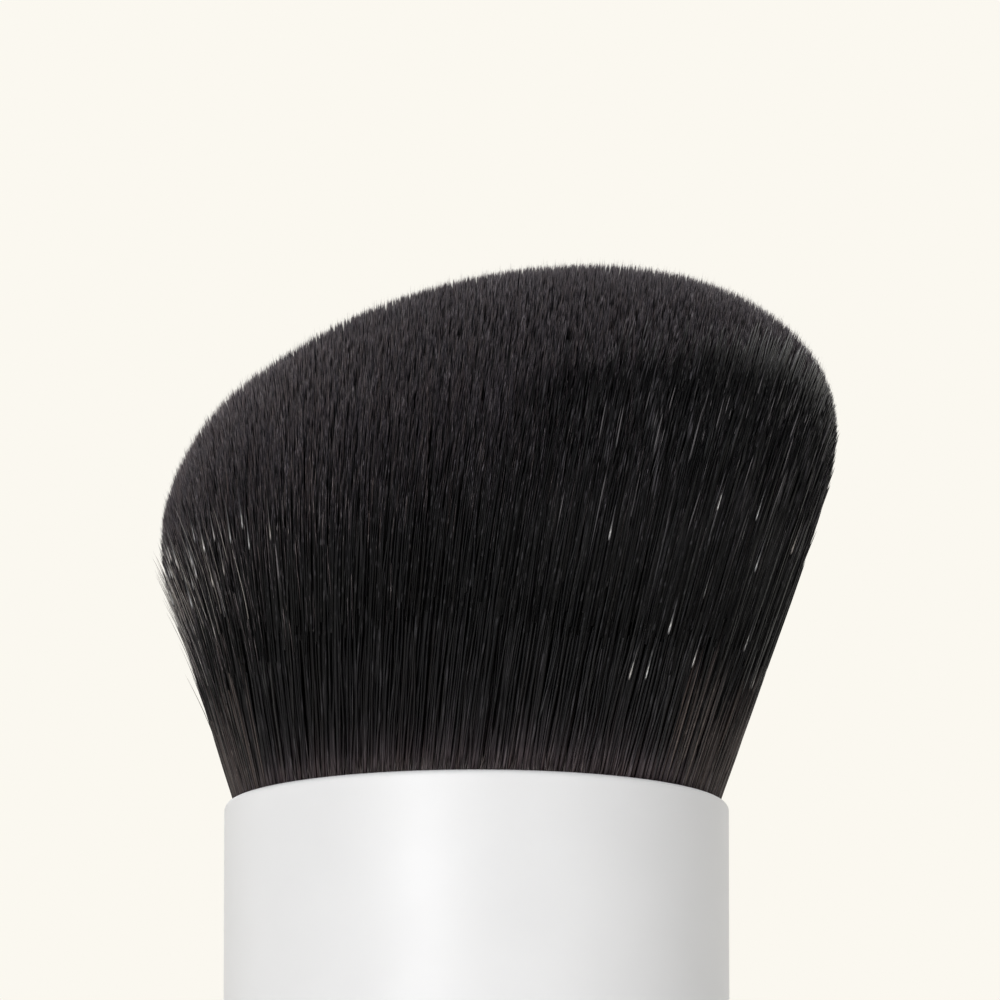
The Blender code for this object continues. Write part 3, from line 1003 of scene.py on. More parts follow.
# Each group of filaments, from the bulk of the tuft to its single hairs. They are thicker and fewer than
# real ones, which are about 0.07 mm thick, so that they show at this distance.
LAYS = (
    Lay(
        "tuft_flank", 8600, 0.86, 1.0, None, (0.0, 0.12, 0.24, 0.36, 0.48, 0.6, 0.71, 0.81, 0.9, 0.97),
        diameter=0.19 * MM, short=0.15 * MM, out_share=0.04, sway=0.13 * MM, dip=0.16 * MM, seed=11, pieces=4,
    ),
    Lay(
        "tuft_crown", 42000, 0.0, 1.0, 8.0 * MM, (0.0, 0.6, 0.92),
        diameter=0.18 * MM, short=0.1 * MM, pull=0.3, seed=12, pieces=5,
    ),
    Lay(
        "tuft_fuzz_crown", 18000, 0.0, 1.0, 2.6 * MM, (0.0, 0.65), FUZZ, 0.045 * MM,
        short=0.08 * MM, out_share=0.8, out_by=0.27 * MM, lean=0.2 * MM, pull=0.15, seed=19,
    ),
    Lay(
        "tuft_fuzz_low_side", 6000, 0.6, 1.0, 2.4 * MM, (0.0, 0.45, 0.8), FUZZ, 0.055 * MM,
        short=0.06 * MM, out_share=0.8, out_by=0.25 * MM, pull=0.25, side=(-178.0, 80.0), seed=20,
    ),
    Lay(
        "tuft_frays_low_side", 1600, 0.96, 1.0, 2.6 * MM, (0.0, 0.5, 0.85), FUZZ, 0.08 * MM,
        ends=(0.6, 1.0), splay=(0.05 * MM, 0.25 * MM), pull=0.25, side=(-178.0, 72.0), seed=27,
    ),
    # Roots with painted light, paler low down on the tall side and the low side.
    Lay(
        "tuft_roots_tall_side", 1300, 0.975, 1.0, None, (0.0, 0.35, 0.7), ROOTS, 0.15 * MM,
        ends=(0.14, 0.56), splay=(0.03 * MM, 0.1 * MM), pull=0.1, side=(11.0, 54.0), seed=26,
    ),
    Lay(
        "tuft_roots_low_side", 480, 0.975, 1.0, None, (0.0, 0.35, 0.7), ROOTS, 0.14 * MM,
        ends=(0.14, 0.7), splay=(0.03 * MM, 0.1 * MM), pull=0.1, side=(-178.0, 34.0), seed=30,
    ),
    # Roots with a painted pale line of light just above the rim.
    Lay(
        "tuft_roots_front", 900, 0.975, 1.0, None, (0.0, 0.5), COLLAR, 0.14 * MM,
        ends=(0.03, 0.09), splay=(0.03 * MM, 0.08 * MM), pull=0.1, side=(-100.0, 52.0), seed=31,
    ),
    Lay(
        "tuft_long_tall_side", 3000, 0.93, 0.995, 12.0 * MM,
        (0.0, 0.15, 0.3, 0.45, 0.57, 0.68, 0.78, 0.87, 0.94), LONG, 0.2 * MM,
        over=(0.0, 5.6 * MM), thinning=5.0, sway=0.08 * MM, splay=(0.0, 0.12 * MM),
        pull=0.5, alike=0.92, side=(-46.0, 48.0), seed=28,
    ),
    Lay(
        "tuft_frays_tall_side", 700, 0.97, 0.995, 6.0 * MM, (0.0, 0.3, 0.55, 0.75, 0.9), LONG, 0.12 * MM,
        ends=(0.6, 0.95), splay=(0.0, 0.28 * MM), pull=0.3, side=(2.0, 60.0), seed=29,
    ),
    # Filaments with painted sheen on the tall and low sides.
    Lay(
        "tuft_sheen_tall_side", 200, 0.95, 0.995, 9.0 * MM, (0.0, 0.2, 0.4, 0.55, 0.67, 0.78, 0.88, 0.95),
        SHEEN, 0.16 * MM, ends=(0.85, 1.0), over=(0.0, 3.4 * MM), splay=(0.08 * MM, 0.22 * MM), pull=0.1,
        side=(-38.0, 50.0), seed=21,
    ),
    Lay(
        "tuft_sheen_low_side", 70, 0.9, 1.0, 4.0 * MM, (0.0, 0.2, 0.4, 0.6, 0.8), SHEEN, 0.15 * MM,
        ends=(0.75, 1.0), splay=(0.05 * MM, 0.3 * MM), pull=0.1, side=(-158.0, 50.0), seed=22,
    ),
    # Filaments with a painted glint, a near-white painted highlight low on each.
    Lay(
        "tuft_glint_tall_side", 16, 0.985, 0.998, 3.0 * MM, GLINT_RINGS, GLINT, 0.15 * MM, ends=(0.34, 1.0),
        over=(0.0, 2.5 * MM), splay=(0.0, 0.1 * MM), proud=0.16 * MM, pull=0.0, side=(-45.0, 36.0), seed=23,
    ),
    Lay(
        "tuft_glint_low_side", 34, 0.985, 0.998, 3.0 * MM, GLINT_RINGS, GLINT, 0.14 * MM, ends=(0.92, 1.0),
        over=(0.5 * MM, 3.8 * MM), splay=(0.0, 0.12 * MM), proud=0.16 * MM, pull=0.0,
        side=(-168.0, 40.0), seed=24,
    ),
    Lay(
        "tuft_wisps", 120, 0.99, 1.0, 5.0 * MM, (0.0, 0.15, 0.3, 0.45, 0.6, 0.75, 0.9), WISP, 0.055 * MM,
        ends=(0.88, 1.14), splay=(0.2 * MM, 0.8 * MM), pull=0.0, side=(180.0, 36.0), seed=25,
    ),
)


def close_in(low: Array, high: Array, steps: int, holds: Callable[[Array], Array]) -> tuple[Array, Array]:
    """Closes in on where a test stops holding, for many filaments at once.

    Args:
        low: Where it holds.
        high: Where it doesn't.
        steps: How often the gap between them is halved.
        holds: The test.

    Returns:
        The last places where it held, and the first where it didn't.
    """
    for _ in range(steps):
        middle = (low + high) / 2
        still = holds(middle)
        low = np.where(still, middle, low)
        high = np.where(still, high, middle)
    return low, high


def thread_mesh(name: str, centres: Array, thick: Array, turn: Array, across: Array, along: Array) -> Piece:
    """Makes one mesh of three-sided threads, each with its own narrow strip of the map.

    There are tens of thousands of them, so their points are worked out together, and not by operators.

    Args:
        name: The piece's name.
        centres: Each thread's rings' middles, the last of which is its tip.
        thick: Each ring's radius.
        turn: How far each thread is turned about itself.
        across: The map's U where each thread's strip starts.
        along: The map's V at each ring.

    Returns:
        The piece.
    """
    count, levels = centres.shape[:2]
    rings = levels - 1
    sides = turn[:, None] + np.arange(3)[None, :] * math.tau / 3
    corners = np.repeat(centres[:, :rings, None, :], 3, 2)
    corners[..., 0] += np.cos(sides)[:, None, :] * thick[:, :rings, None]
    corners[..., 1] += np.sin(sides)[:, None, :] * thick[:, :rings, None]
    verts = np.concatenate([corners.reshape(count, rings * 3, 3), centres[:, -1:, :]], 1)
    per = rings * 3 + 1

    # One thread's faces, with each corner's side and ring for the map: its walls, its tip and its foot.
    quads, quad_maps = [], []
    for ring in range(rings - 1):
        for side in range(3):
            low, high = ring * 3, ring * 3 + 3
            quads.append([low + side, low + (side + 1) % 3, high + (side + 1) % 3, high + side])
            quad_maps.append([(side, ring), (side + 1, ring), (side + 1, ring + 1), (side, ring + 1)])
    last = (rings - 1) * 3
    tris = [[last + side, last + (side + 1) % 3, rings * 3] for side in range(3)]
    tri_maps = [[(side, rings - 1), (side + 1, rings - 1), (side + 0.5, rings)] for side in range(3)]
    tris.append([2, 1, 0])
    tri_maps.append([(2, 0), (1, 0), (1.5, 0.2)])

    base = (np.arange(count) * per)[:, None]
    quad_corners = base + np.array(quads).reshape(1, -1)
    tri_corners = base + np.array(tris).reshape(1, -1)
    loops = np.concatenate([quad_corners.ravel(), tri_corners.ravel()])
    quad_total, tri_total = count * len(quads), count * len(tris)
    starts = np.concatenate([np.arange(quad_total) * 4, quad_total * 4 + np.arange(tri_total) * 3])

    def placed(maps: list[list[tuple[float, float]]]) -> Array:
        """Works out the map's places for one kind of face.

        Args:
            maps: The side and ring of each corner of one thread's faces.

        Returns:
            The U and V of every thread's corners.
        """
        flat = np.array([corner for face in maps for corner in face])
        u = across[:, None] + flat[None, :, 0] * (STRIP / 3)
        below = np.floor(flat[:, 1]).astype(int)
        above = np.minimum(below + 1, levels - 1)
        part = flat[:, 1] - below
        v = along[:, below] * (1 - part) + along[:, above] * part
        return np.stack([np.broadcast_to(u, v.shape), v], 2).reshape(-1, 2)

    places = np.concatenate([placed(quad_maps), placed(tri_maps)])
    mesh = bpy.data.meshes.new(name)
    mesh.vertices.add(count * per)
    mesh.vertices.foreach_set("co", verts.astype(np.float32).ravel())
    mesh.loops.add(len(loops))
    mesh.loops.foreach_set("vertex_index", loops.astype(np.int32))
    mesh.polygons.add(len(starts))
    mesh.polygons.foreach_set("loop_start", starts.astype(np.int32))
    mesh.polygons.foreach_set("use_smooth", np.ones(len(starts), bool))
    mesh.update(calc_edges=True)
    layer = mesh.uv_layers.new(name=FILAMENT_MAP)
    layer.data.foreach_set("uv", np.clip(places, 0, 1).astype(np.float32).ravel())
    mesh.validate()
    piece = bpy.data.objects.new(name, mesh)
    bpy.context.scene.collection.objects.link(piece)
    return piece


@dataclass
class Tuft:
    """The tuft: a dark heart, with the filaments round it and over it that can be told apart."""

    rim_level: float = FERRULE_HIGH.z
    # The roots stand this far inside the casing's outer face.
    root_radius: float = FERRULE_HIGH.x - 0.8 * MM
    root_depth: float = 1.4 * MM
    # The tuft at its widest: half its width and depth, and how far that is set toward the tall side.
    half_width: float = 24.1 * MM
    half_depth: float = 22.8 * MM
    offset: float = 1.6 * MM
    # The height of the shoulder above the rim, and how much higher it is on the tall side.
    shoulder: float = 23.9 * MM
    shoulder_rise: float = 8.1 * MM
    # The height of the dome on it, and the powers that it falls off with.
    crown: float = 14.1 * MM
    fall: float = 2.2
    fullness: float = 1.8
    # The low side is a little fuller close to its edge: by how much, and from which share of the way.
    low_fill: float = 0.35 * MM
    low_fill_from: float = 0.55
    low_fill_power: float = 1.6
    # How far the sides belly out, and how near the top.
    belly_share: float = 0.16
    belly_power: float = 9
    # How far the filaments of the low side turn toward the tall side, in radians for a rise of one radius.
    combed: float = 0.2
    # The heights between which a filament can leave the tuft's form, and how often the search for that
    # halves them. The search for how far a filament is drawn in is shorter.
    reach_limits: tuple[float, float] = (5 * MM, 50 * MM)
    reach_steps: int = 16
    drawn_steps: int = 12
    # How unevenly the filaments stand on their spiral, as a share of a turn.
    stand_spread: float = 0.002
    # How far the tips end past the crown, and the spread of that.
    slip: tuple[float, float] = (0.1 * MM, 0.08 * MM)
    # How wide the clumps of tips are, of the large kind and the small, and the seed of the first kind.
    clumps: tuple[float, ...] = (1.2 * MM, 0.5 * MM)
    clump_seed: int = 50
    # How many cells of clumps there are before they repeat, and how unevenly the clumps stand in them.
    clump_cells: int = 128
    clump_spread: float = 0.4
    # The shares of a group's pull that its tips follow.
    pull_spread: tuple[float, float] = (0.3, 1.0)
    # How much of a lean out of the tuft is taken away at its edge.
    edge_hold: float = 0.8
    # The powers by which a filament's lean and its splay grow toward its tip.
    lean_power: float = 3
    splay_power: float = 1.6
    # How far above the rim filaments wander in full, and the lengths of the waves that they do it in,
    # with how much longer or shorter a filament's own wave may be.
    rooted: float = 4 * MM
    waves: tuple[float, ...] = (28 * MM, 11 * MM)
    wave_spread: tuple[float, float] = (0.8, 1.25)
    # The power by which a shorter wave is smaller, and the shares of a group's dip that filaments follow.
    wave_power: float = 0.7
    dip_spread: tuple[float, float] = (0.2, 1.0)
    # The length over which a filament tapers, and the share of its thickness that it keeps there. Its
    # thickness is a share of its group's between two limits.
    taper: float = 3 * MM
    blunt: float = 0.4
    thickness_spread: tuple[float, float] = (0.8, 1.15)
    # The length of the ground tip, and the share of the map's height that it has.
    tip_zone: float = 9.0 * MM
    tip_share: float = 0.75
    # How far the shades of a clump's filaments differ, as a share of the map's width.
    shade_spread: float = 0.008
    # The heart: its share of the tuft's width, how far it is below the crown, its sides, the rings on its
    # top with their width as a share of its radius, and the rows round it.
    heart_share: float = 0.9
    heart_drop: float = 1.6 * MM
    heart_sides: int = 96
    heart_rings: int = 11
    heart_ring_width: float = 0.08
    heart_rows: int = 14
    lays: tuple[Lay, ...] = LAYS

    def height(self, x: Array, y: Array) -> Array:
        """Height of the crown above the rim: a dome on a slanted shoulder plane.

        Args:
            x: Plan points' X.
            y: Plan points' Y.

        Returns:
            The height over each point.
        """
        across = (x - self.offset) / self.half_width
        outward = np.minimum(1.0, np.hypot(across, y / self.half_depth))
        dome = self.crown * (1 - outward**self.fall) ** (1 / self.fullness)
        low_side = np.clip((-across - self.low_fill_from) / (1 - self.low_fill_from), 0.0, 1.0)
        dome = dome + self.low_fill * np.sin(math.pi * low_side**self.low_fill_power) ** 2
        return self.shoulder + self.shoulder_rise / 2 * across + dome

    def shoulder_height(self, angle: Array) -> Array:
        """The height of the shoulder above the rim at angles round the axis."""
        return self.shoulder + self.shoulder_rise / 2 * np.cos(angle)

    def bellied(self, rise: Array) -> Array:
        """How far the edge has spread at shares of the height: 0 at the root, and 1 where it is widest."""
        return rise * (1 + self.belly_share * (1 - np.maximum(rise, 0.0) ** self.belly_power))

    def flared(self, angle: Array, spread: Array) -> tuple[Array, Array]:
        """Plan points between the root's circle and the tuft's widest.

        Args:
            angle: Angles round the axis.
            spread: Shares of the way out.

        Returns:
            The points' X and Y.
        """
        wide_x = self.offset + self.half_width * np.cos(angle)
        wide_y = self.half_depth * np.sin(angle)
        x = self.root_radius * np.cos(angle) * (1 - spread) + wide_x * spread
        y = self.root_radius * np.sin(angle) * (1 - spread) + wide_y * spread
        return x, y

    def fan(self, angle: Array, share: Array, height: Array) -> tuple[Array, Array]:
        """Plan points on filaments that fan out from the rim.

        Args:
            angle: The filaments' angles round the axis.
            share: Their shares of the root's radius.
            height: Heights above the rim.

        Returns:
            The points' X and Y.
        """
        combed = self.combed * np.sin(angle) * ((1 - np.cos(angle)) / 2) ** 2
        angle = angle - combed * height / self.root_radius
        x, y = self.flared(angle, (1 + self.belly_share) * height / self.shoulder_height(angle))
        return x * share, y * share

    def within(self, angle: Array, share: Array, height: Array, depth: Array | float) -> Array:
        """Tells which points on filaments are inside the tuft's form.

        Args:
            angle: The filaments' angles round the axis.
            share: Their shares of the root's radius.
            height: Heights above the rim.
            depth: The share of their Y that they keep.

        Returns:
            True for each point that is inside.
        """
        x, y = self.fan(angle, share, height)
        y = y * depth
        spread = self.bellied(np.minimum(height / self.shoulder_height(angle), 1.0))
        radius_x = self.root_radius * (1 - spread) + self.half_width * spread
        radius_y = self.root_radius * (1 - spread) + self.half_depth * spread
        inside = np.hypot((x - self.offset * spread) / radius_x, y / radius_y) <= 1
        return inside & (height <= self.height(x, y))

    def reach(self, angle: Array, share: Array, depth: float = 1.0) -> Array:
        """How high above the rim filaments run before they leave the tuft's form.

        Args:
            angle: The filaments' angles round the axis.
            share: Their shares of the root's radius.
            depth: The share of their Y that they keep.

        Returns:
            The height at which each leaves it.
        """
        low, high = (np.full(angle.shape, limit) for limit in self.reach_limits)
        steps = self.reach_steps
        return close_in(low, high, steps, lambda height: self.within(angle, share, height, depth))[0]

    def drawn_in(self, angle: Array, share: Array, height: Array) -> Array:
        """How far filaments are drawn in from the front or the back to lie on the crown.

        Args:
            angle: The filaments' angles round the axis.
            share: Their shares of the root's radius.
            height: Heights above the rim.

        Returns:
            The share of their Y that they keep.
        """
        height = np.maximum(height, self.reach_limits[0])
        none, whole, steps = np.zeros(height.shape), np.ones(height.shape), self.drawn_steps
        return close_in(none, whole, steps, lambda depth: self.within(angle, share, height, depth))[1]

    def heart(self) -> Piece:
        """Models the heart: a cylinder ringed and cut in rows, whose points are moved to the tuft's form.

        Returns:
            The piece.
        """
        piece = add_cylinder("tuft_heart", 1.0, 0.0, 1.0, self.heart_sides, ends=True)
        with shaping(piece):
            pick_flat(piece, 1.0, 0, 1.0)
            for _ in range(self.heart_rings):
                bpy.ops.mesh.inset(thickness=self.heart_ring_width)
            bpy.ops.mesh.poke()
            for row in range(1, self.heart_rows):
                cut_level(piece, row / self.heart_rows)
        deselect()
        low = -self.root_depth
        for point in piece.data.vertices:
            rise = point.co.z
            share = point.co.xy.length * self.heart_share
            angle = np.array(math.atan2(point.co.y, point.co.x))
            tip_x, tip_y = (float(v) * share for v in self.flared(angle, self.bellied(np.array(1.0))))
            top = float(self.height(np.array(tip_x), np.array(tip_y))) - self.heart_drop
            x, y = (float(v) * share for v in self.flared(angle, self.bellied(np.array(rise))))
            point.co = (x, y, self.rim_level + low + (top - low) * rise)
        smooth(piece, 60)
        return piece

    def stand(self, lay: Lay, rng: np.random.Generator) -> tuple[Array, Array]:
        """Sets out where a group's filaments stand.

        Args:
            lay: How they are laid.
            rng: The group's source of chance.

        Returns:
            Their angles round the axis, in order, and their shares of the root's radius.
        """
        count = lay.count
        # A sunflower spiral spreads the filaments evenly over the ring between the two shares.
        order = (np.arange(count) + rng.uniform(0, 1, count)) / count
        share = np.sqrt(lay.inner**2 + (lay.outer**2 - lay.inner**2) * order)
        turned = np.arange(count) * SUNFLOWER_TURN + rng.normal(0, self.stand_spread, count)
        turned = turned % 1.0 * 2 - 1
        middle, each_way = (math.radians(v) for v in lay.side)
        if each_way < math.pi:
            # A group on one side thins out toward both of its edges.
            turned = np.sign(turned) * (1 - np.sqrt(1 - np.abs(turned)))
        angle = middle + turned * each_way
        by_angle = np.argsort(angle)
        return angle[by_angle], share[by_angle]

    def clumped(self, x: Array, y: Array, size: float, seed: int) -> tuple[Array, Array, Array]:
        """The clump that each tip leans to.

        Args:
            x: The tips' X.
            y: The tips' Y.
            size: How far apart the clumps are.
            seed: The seed for where in its cell each clump is.

        Returns:
            The X and Y of the clumps' middles, and each clump's own number from 0 to 1.
        """
        rng = np.random.default_rng(seed)
        cells = self.clump_cells
        shift = rng.uniform(-0.5, 0.5, (cells, cells, 2)) * (2 * self.clump_spread)
        own = rng.uniform(0, 1, (cells, cells))
        # Every other row of cells is moved by half a cell, so that the clumps don't stand in a grid.
        row = np.floor(y / size).astype(int)
        moved = (row % 2) * 0.5
        column = np.floor(x / size + moved).astype(int)
        jitter = shift[row % cells, column % cells]
        middle_x = (column + 0.5 - moved + jitter[:, 0]) * size
        middle_y = (row + 0.5 + jitter[:, 1]) * size
        return middle_x, middle_y, own[row % cells, column % cells]

    def lean(
        self, lay: Lay, rng: np.random.Generator, angle: Array, share: Array, reach: Array
    ) -> tuple[Array, Array, Array]:
        """Works out how far each tip leans, mostly to its clump.

        Args:
            lay: How the filaments are laid.
            rng: The group's source of chance.
            angle: Their angles round the axis.
            share: Their shares of the root's radius.
            reach: The heights of their tips above the rim.

        Returns:
            How far they lean in X and in Y, and their clumps' own numbers.
        """
        count = lay.count
        tip_x, tip_y = self.fan(angle, share, reach)
        lean_x = rng.normal(0, lay.lean, count)
        lean_y = rng.normal(0, lay.lean, count)
        for number, size in enumerate(self.clumps):
            seed = self.clump_seed + number
            middle_x, middle_y, own = self.clumped(tip_x + lean_x, tip_y + lean_y, size, seed)
            pull = lay.pull * rng.uniform(*self.pull_spread, count)
            lean_x += (middle_x - tip_x - lean_x) * pull
            lean_y += (middle_y - tip_y - lean_y) * pull
        # At the tuft's edge they lean along it rather than out of it.
        outward = (lean_x * np.cos(angle) + lean_y * np.sin(angle)) * self.edge_hold * share**2
        return lean_x - outward * np.cos(angle), lean_y - outward * np.sin(angle), own

    def wander(self, lay: Lay, rng: np.random.Generator, height: Array) -> tuple[Array, Array]:
        """Makes filaments wander sideways among their neighbours, and dip in behind them.

        Args:
            lay: How they are laid.
            rng: The group's source of chance.
            height: The heights of their rings above the rim.

        Returns:
            How far each ring moves sideways and outwards.
        """
        count = lay.count
        grown = np.clip(height / self.rooted, 0, 1)
        sideways, outwards = np.zeros_like(height), np.zeros_like(height)
        for length in self.waves:
            sway = lay.sway * (length / self.waves[0]) ** self.wave_power
            amount = rng.normal(0, sway, count)[:, None]
            swing = math.tau * (height / length * rng.uniform(*self.wave_spread, count)[:, None])
            sideways += amount * np.sin(swing + rng.uniform(0, math.tau, count)[:, None]) * grown
            swing = math.tau * (height / length * rng.uniform(*self.wave_spread, count)[:, None])
            depth = lay.dip * rng.uniform(*self.dip_spread, count)[:, None] / 2
            outwards -= depth * (1 - np.cos(swing + rng.uniform(0, math.tau, count)[:, None])) * grown
        return sideways, outwards

    def grow(self, lay: Lay) -> list[Piece]:
        """Grows one group of filaments as three-sided threads that end in points.

        Args:
            lay: How they are laid.

        Returns:
            The pieces, each a wedge of the tuft.
        """
        rng = np.random.default_rng(lay.seed)
        count = lay.count
        angle, share = self.stand(lay, rng)
        slip = rng.normal(*self.slip, count) - np.abs(rng.normal(0, lay.short, count))
        stands_out = rng.uniform(0, 1, count) < lay.out_share
        slip += stands_out * rng.triangular(0, 0, 2 * lay.out_by, count)
        reach = self.reach(angle, share) * rng.uniform(*lay.ends, count)
        least, most = lay.over
        over = least + (most - least) * rng.uniform(0, 1, count) ** lay.thinning
        reach = np.minimum(reach + over, self.reach(angle, share, 0.0)) + slip
        lean_x, lean_y, own = self.lean(lay, rng, angle, share, reach)

        # From here on there is a row for each filament and a column for each of its rings.
        angle, share, tip = angle[:, None], share[:, None], reach[:, None]
        at = np.array((*lay.rings, 1.0))[None, :]
        start = -self.root_depth if lay.below_tip is None else tip - lay.below_tip
        height = start + (tip - start) * at
        x, y = self.fan(angle, share, height)
        if most > 0:
            y *= self.drawn_in(angle, share, height)
        lifted = np.clip(height / tip, 0, None) ** self.lean_power
        sideways, outwards = self.wander(lay, rng, height)
        outwards += lay.proud + rng.uniform(*lay.splay, count)[:, None] * at**self.splay_power
        x += lean_x[:, None] * lifted
        y += lean_y[:, None] * lifted
        x += np.cos(angle) * outwards - np.sin(angle) * sideways
        y += np.sin(angle) * outwards + np.cos(angle) * sideways
        z = self.rim_level + height

        from_tip = tip - height
        thinner = np.maximum(np.clip(from_tip / self.taper, 0, 1) ** 0.5, self.blunt)
        thick = lay.diameter / 2 * rng.uniform(*self.thickness_spread, count)[:, None] * thinner
        stem = height / np.maximum(tip - self.tip_zone, 1e-6)
        stem_part = (1 - self.tip_share) * np.clip(stem, 0, 1)
        tip_part = 1 - self.tip_share * from_tip / self.tip_zone
        along = np.where(from_tip < self.tip_zone, tip_part, stem_part)
        # Most of a clump's filaments have nearly the same shade, and the rest any.
        same = rng.uniform(0, 1, count) < lay.alike
        near_own = (own + rng.uniform(0, self.shade_spread, count)) % 1.0
        across = np.where(same, near_own, rng.uniform(0, 1, count)) * (1 - STRIP)

        pieces = []
        for number, part in enumerate(np.array_split(np.arange(count), lay.pieces)):
            centres = np.stack([x[part], y[part], z[part]], 2)
            name = f"{lay.name}_{number + 1}" if lay.pieces > 1 else lay.name
            turn = rng.uniform(0, math.tau, len(part))
            pieces.append(thread_mesh(name, centres, thick[part], turn, across[part], along[part]))
        return pieces

    def build(self) -> None:
        """Builds and dresses the heart and every group of filaments."""
        hand_over(self.heart(), PACKED, "bristle_tuft")
        for lay in self.lays:
            for piece in self.grow(lay):
                hand_over(piece, lay.finish, "bristle_tuft")


@dataclass
class SealedPieces:
    """What the casing hides: these keep their CAD meshes and take a finish."""

    finishes: dict[str, Finish]

    def dress(self) -> None:
        """Puts each finish on its CAD node."""
        for name, finish in self.finishes.items():
            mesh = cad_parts[name].data
            mesh.materials.clear()
            mesh.materials.append(finish.material())
            log.info("%s: finished in %s", name, finish.name)


def stand_facing(data: bpy.types.ID, target: Vector, away: Vector, distance: float) -> Piece:
    """Stands a lamp or the camera at a distance from a point, turned to it.

    Args:
        data: The lamp or the camera, which gives the object its name too.
        target: The point.
        away: The direction from the point to it.
        distance: How far off it stands.

    Returns:
        The new object.
    """
    holder = bpy.data.objects.new(data.name, data)
    bpy.context.scene.collection.objects.link(holder)
    holder.location = target + away * distance
    holder.rotation_mode = "QUATERNION"
    holder.rotation_quaternion = (-away).to_track_quat("-Z", "Y")
    return holder


@dataclass
class SoftBox:
    """A square lamp on a circle round the brush, turned to it."""

    name: str
    # Degrees from the camera's side toward the tall side, and degrees up.
    azimuth: float
    elevation: float
    distance: float
    width: float
    height: float
    power: float
    colour: str = "FFFFFF"

    def place(self, middle: Vector) -> None:
        """Adds the lamp.

        Args:
            middle: The point that it is turned to.
        """
        lamp = bpy.data.lights.new(self.name, "AREA")
        lamp.shape = "RECTANGLE"
        lamp.size, lamp.size_y = self.width, self.height
        lamp.energy = self.power
        lamp.color = linear(self.colour)[:3]
        turn, lift = math.radians(self.azimuth), math.radians(self.elevation)
        away = Vector((math.sin(turn) * math.cos(lift), -math.cos(turn) * math.cos(lift), math.sin(lift)))
        stand_facing(lamp, middle, away, self.distance).visible_camera = False


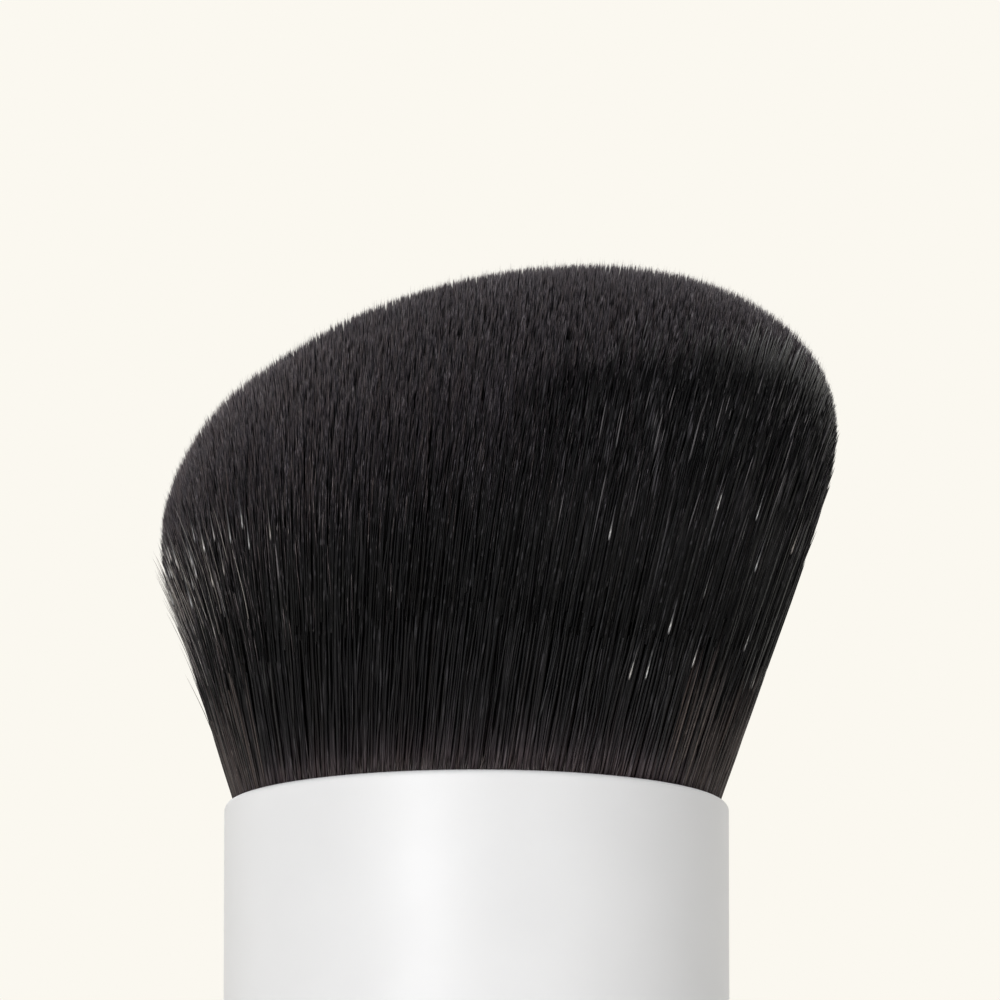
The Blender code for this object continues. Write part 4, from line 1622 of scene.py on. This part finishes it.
@dataclass
class Studio:
    """The pale floor and background, the soft lamps and the camera."""

    background: str = "FBF8F0"
    # How far toward the camera's side, and how far behind the brush, the backdrop shows in reflections.
    backdrop: tuple[float, float] = (-0.3, 0.4)
    ambient: str = "F6F8FF"
    ambient_strength: float = 0.22
    floor_colour: str = "E9E6DE"
    floor_roughness: float = 0.9
    floor_radius: float = 0.4
    floor_level: float = -0.02 * MM
    # The distances between which the floor fades to the background.
    fade: tuple[float, float] = (0.1, 0.36)
    # The camera: its sensor, how near and far it sees, the degrees that it stands above what it is turned
    # to, its distance from that, and the width that it sees there.
    sensor_width_mm: float = 36.0
    clip: tuple[float, float] = (0.01, 10.0)
    elevation: float = -9.565
    distance: float = 1.0
    frame_width: float = 71.61 * MM
    aim: tuple[float, float, float] = (1.67 * MM, 0.0, 97.22 * MM)
    # The height that the lamps are turned to.
    lit_level: float = 80 * MM
    lamps: tuple[SoftBox, ...] = (
        SoftBox("key", -24, 12, 0.9, 0.38, 0.6, 5.1, "FDFDFF"),
        SoftBox("fill", 38, 12, 1.1, 0.3, 0.6, 1.5, "FDFDFF"),
        SoftBox("low_side_rim", -115, 15, 1.1, 0.25, 0.6, 0.8, "FDFDFF"),
        SoftBox("tall_side", 72, 12, 1.1, 0.3, 0.6, 0.6, "FDFDFF"),
        SoftBox("tall_side_rim", 132, 15, 1.1, 0.25, 0.6, 0.08, "FFFCF6"),
        SoftBox("top", 160, 70, 0.8, 0.8, 0.8, 3.7, "FDFDFF"),
        SoftBox("back", -165, 30, 1.1, 0.7, 0.6, 1.4, "F6F9FF"),
    )

    def camera(self) -> None:
        """Adds the camera, a little below the rim and looking up."""
        data = bpy.data.cameras.new("camera")
        data.sensor_width = self.sensor_width_mm
        data.lens = self.sensor_width_mm * self.distance / self.frame_width
        data.clip_start, data.clip_end = self.clip
        lift = math.radians(self.elevation)
        away = Vector((0, -math.cos(lift), math.sin(lift)))
        bpy.context.scene.camera = stand_facing(data, Vector(self.aim), away, self.distance)

    def world(self) -> None:
        """Makes the background that the camera and reflections see, and the light from all round."""
        world = bpy.data.worlds.new("studio")
        world.use_nodes = True
        bpy.context.scene.world = world
        tree = world.node_tree
        tree.nodes.clear()
        path = add_node(tree, "LightPath")
        # The backdrop stands behind the brush, so reflections show it only on that side.
        place = add_node(tree, "TexCoord").outputs["Generated"]
        direction = add_node(tree, "SeparateXYZ", {"Vector": place})
        near, far = self.backdrop
        limits = {"Value": direction.outputs["Y"], "From Min": near, "From Max": far}
        behind = add_node(tree, "MapRange", limits).outputs["Result"]
        seen = path.outputs["Is Camera Ray"]
        for ray in ("Is Glossy Ray", "Is Transmission Ray"):
            pair = {0: behind, 1: path.outputs[ray]}
            ray_back = add_node(tree, "Math", pair, operation="MULTIPLY").outputs[0]
            pair = {0: seen, 1: ray_back}
            seen = add_node(tree, "Math", pair, operation="MAXIMUM").outputs[0]
        light = {"Color": linear(self.ambient), "Strength": self.ambient_strength}
        around = add_node(tree, "Background", light)
        shown = add_node(tree, "Background", {"Color": linear(self.background), "Strength": 1.0})
        shaders = {0: seen, 1: around.outputs[0], 2: shown.outputs[0]}
        mixed = add_node(tree, "MixShader", shaders)
        add_node(tree, "OutputWorld", {"Surface": mixed.outputs[0]})

    def floor(self) -> None:
        """Adds the floor, which keeps the brush's shadow and fades to the background further out."""
        deselect()
        place = (0, 0, self.floor_level)
        bpy.ops.mesh.primitive_circle_add(
            vertices=96, radius=self.floor_radius, fill_type="NGON", location=place
        )
        floor = bpy.context.active_object
        floor.name = "floor"
        made = bpy.data.materials.new("pale_paper_sweep")
        made.use_nodes = True
        tree = made.node_tree
        shader = tree.nodes["Principled BSDF"]
        shader.inputs["Base Color"].default_value = linear(self.floor_colour)
        shader.inputs["Roughness"].default_value = self.floor_roughness
        place = add_node(tree, "TexCoord").outputs["Object"]
        far = add_node(tree, "VectorMath", {0: place}, operation="LENGTH").outputs["Value"]
        start, end = self.fade
        away = add_node(tree, "MapRange", {"Value": far, "From Min": start, "From Max": end})
        path = add_node(tree, "LightPath")
        seen = {0: away.outputs["Result"], 1: path.outputs["Is Camera Ray"]}
        fade = add_node(tree, "Math", seen, operation="MULTIPLY")
        glow = add_node(tree, "Emission", {"Color": linear(self.background), "Strength": 1.0})
        mixed = add_node(
            tree, "MixShader", {0: fade.outputs[0], 1: shader.outputs[0], 2: glow.outputs[0]}
        )
        tree.links.new(mixed.outputs[0], tree.nodes["Material Output"].inputs["Surface"])
        floor.data.materials.append(made)

    def build(self) -> None:
        """Sets up the whole studio."""
        self.camera()
        self.world()
        self.floor()
        for lamp in self.lamps:
            lamp.place(Vector((0, 0, self.lit_level)))
        bpy.context.scene.view_settings.view_transform = "Standard"
        log.info("studio: %d lamps", len(self.lamps))


def main() -> None:
    """Builds the brush from the ground up, then the studio."""
    logging.basicConfig(level=logging.INFO, format="%(name)s: %(message)s")
    Casing().build()
    Base().build()
    SealedPieces(SEALED_FINISHES).dress()
    Tuft().build()
    Studio().build()


if __name__ == "__main__":
    main()
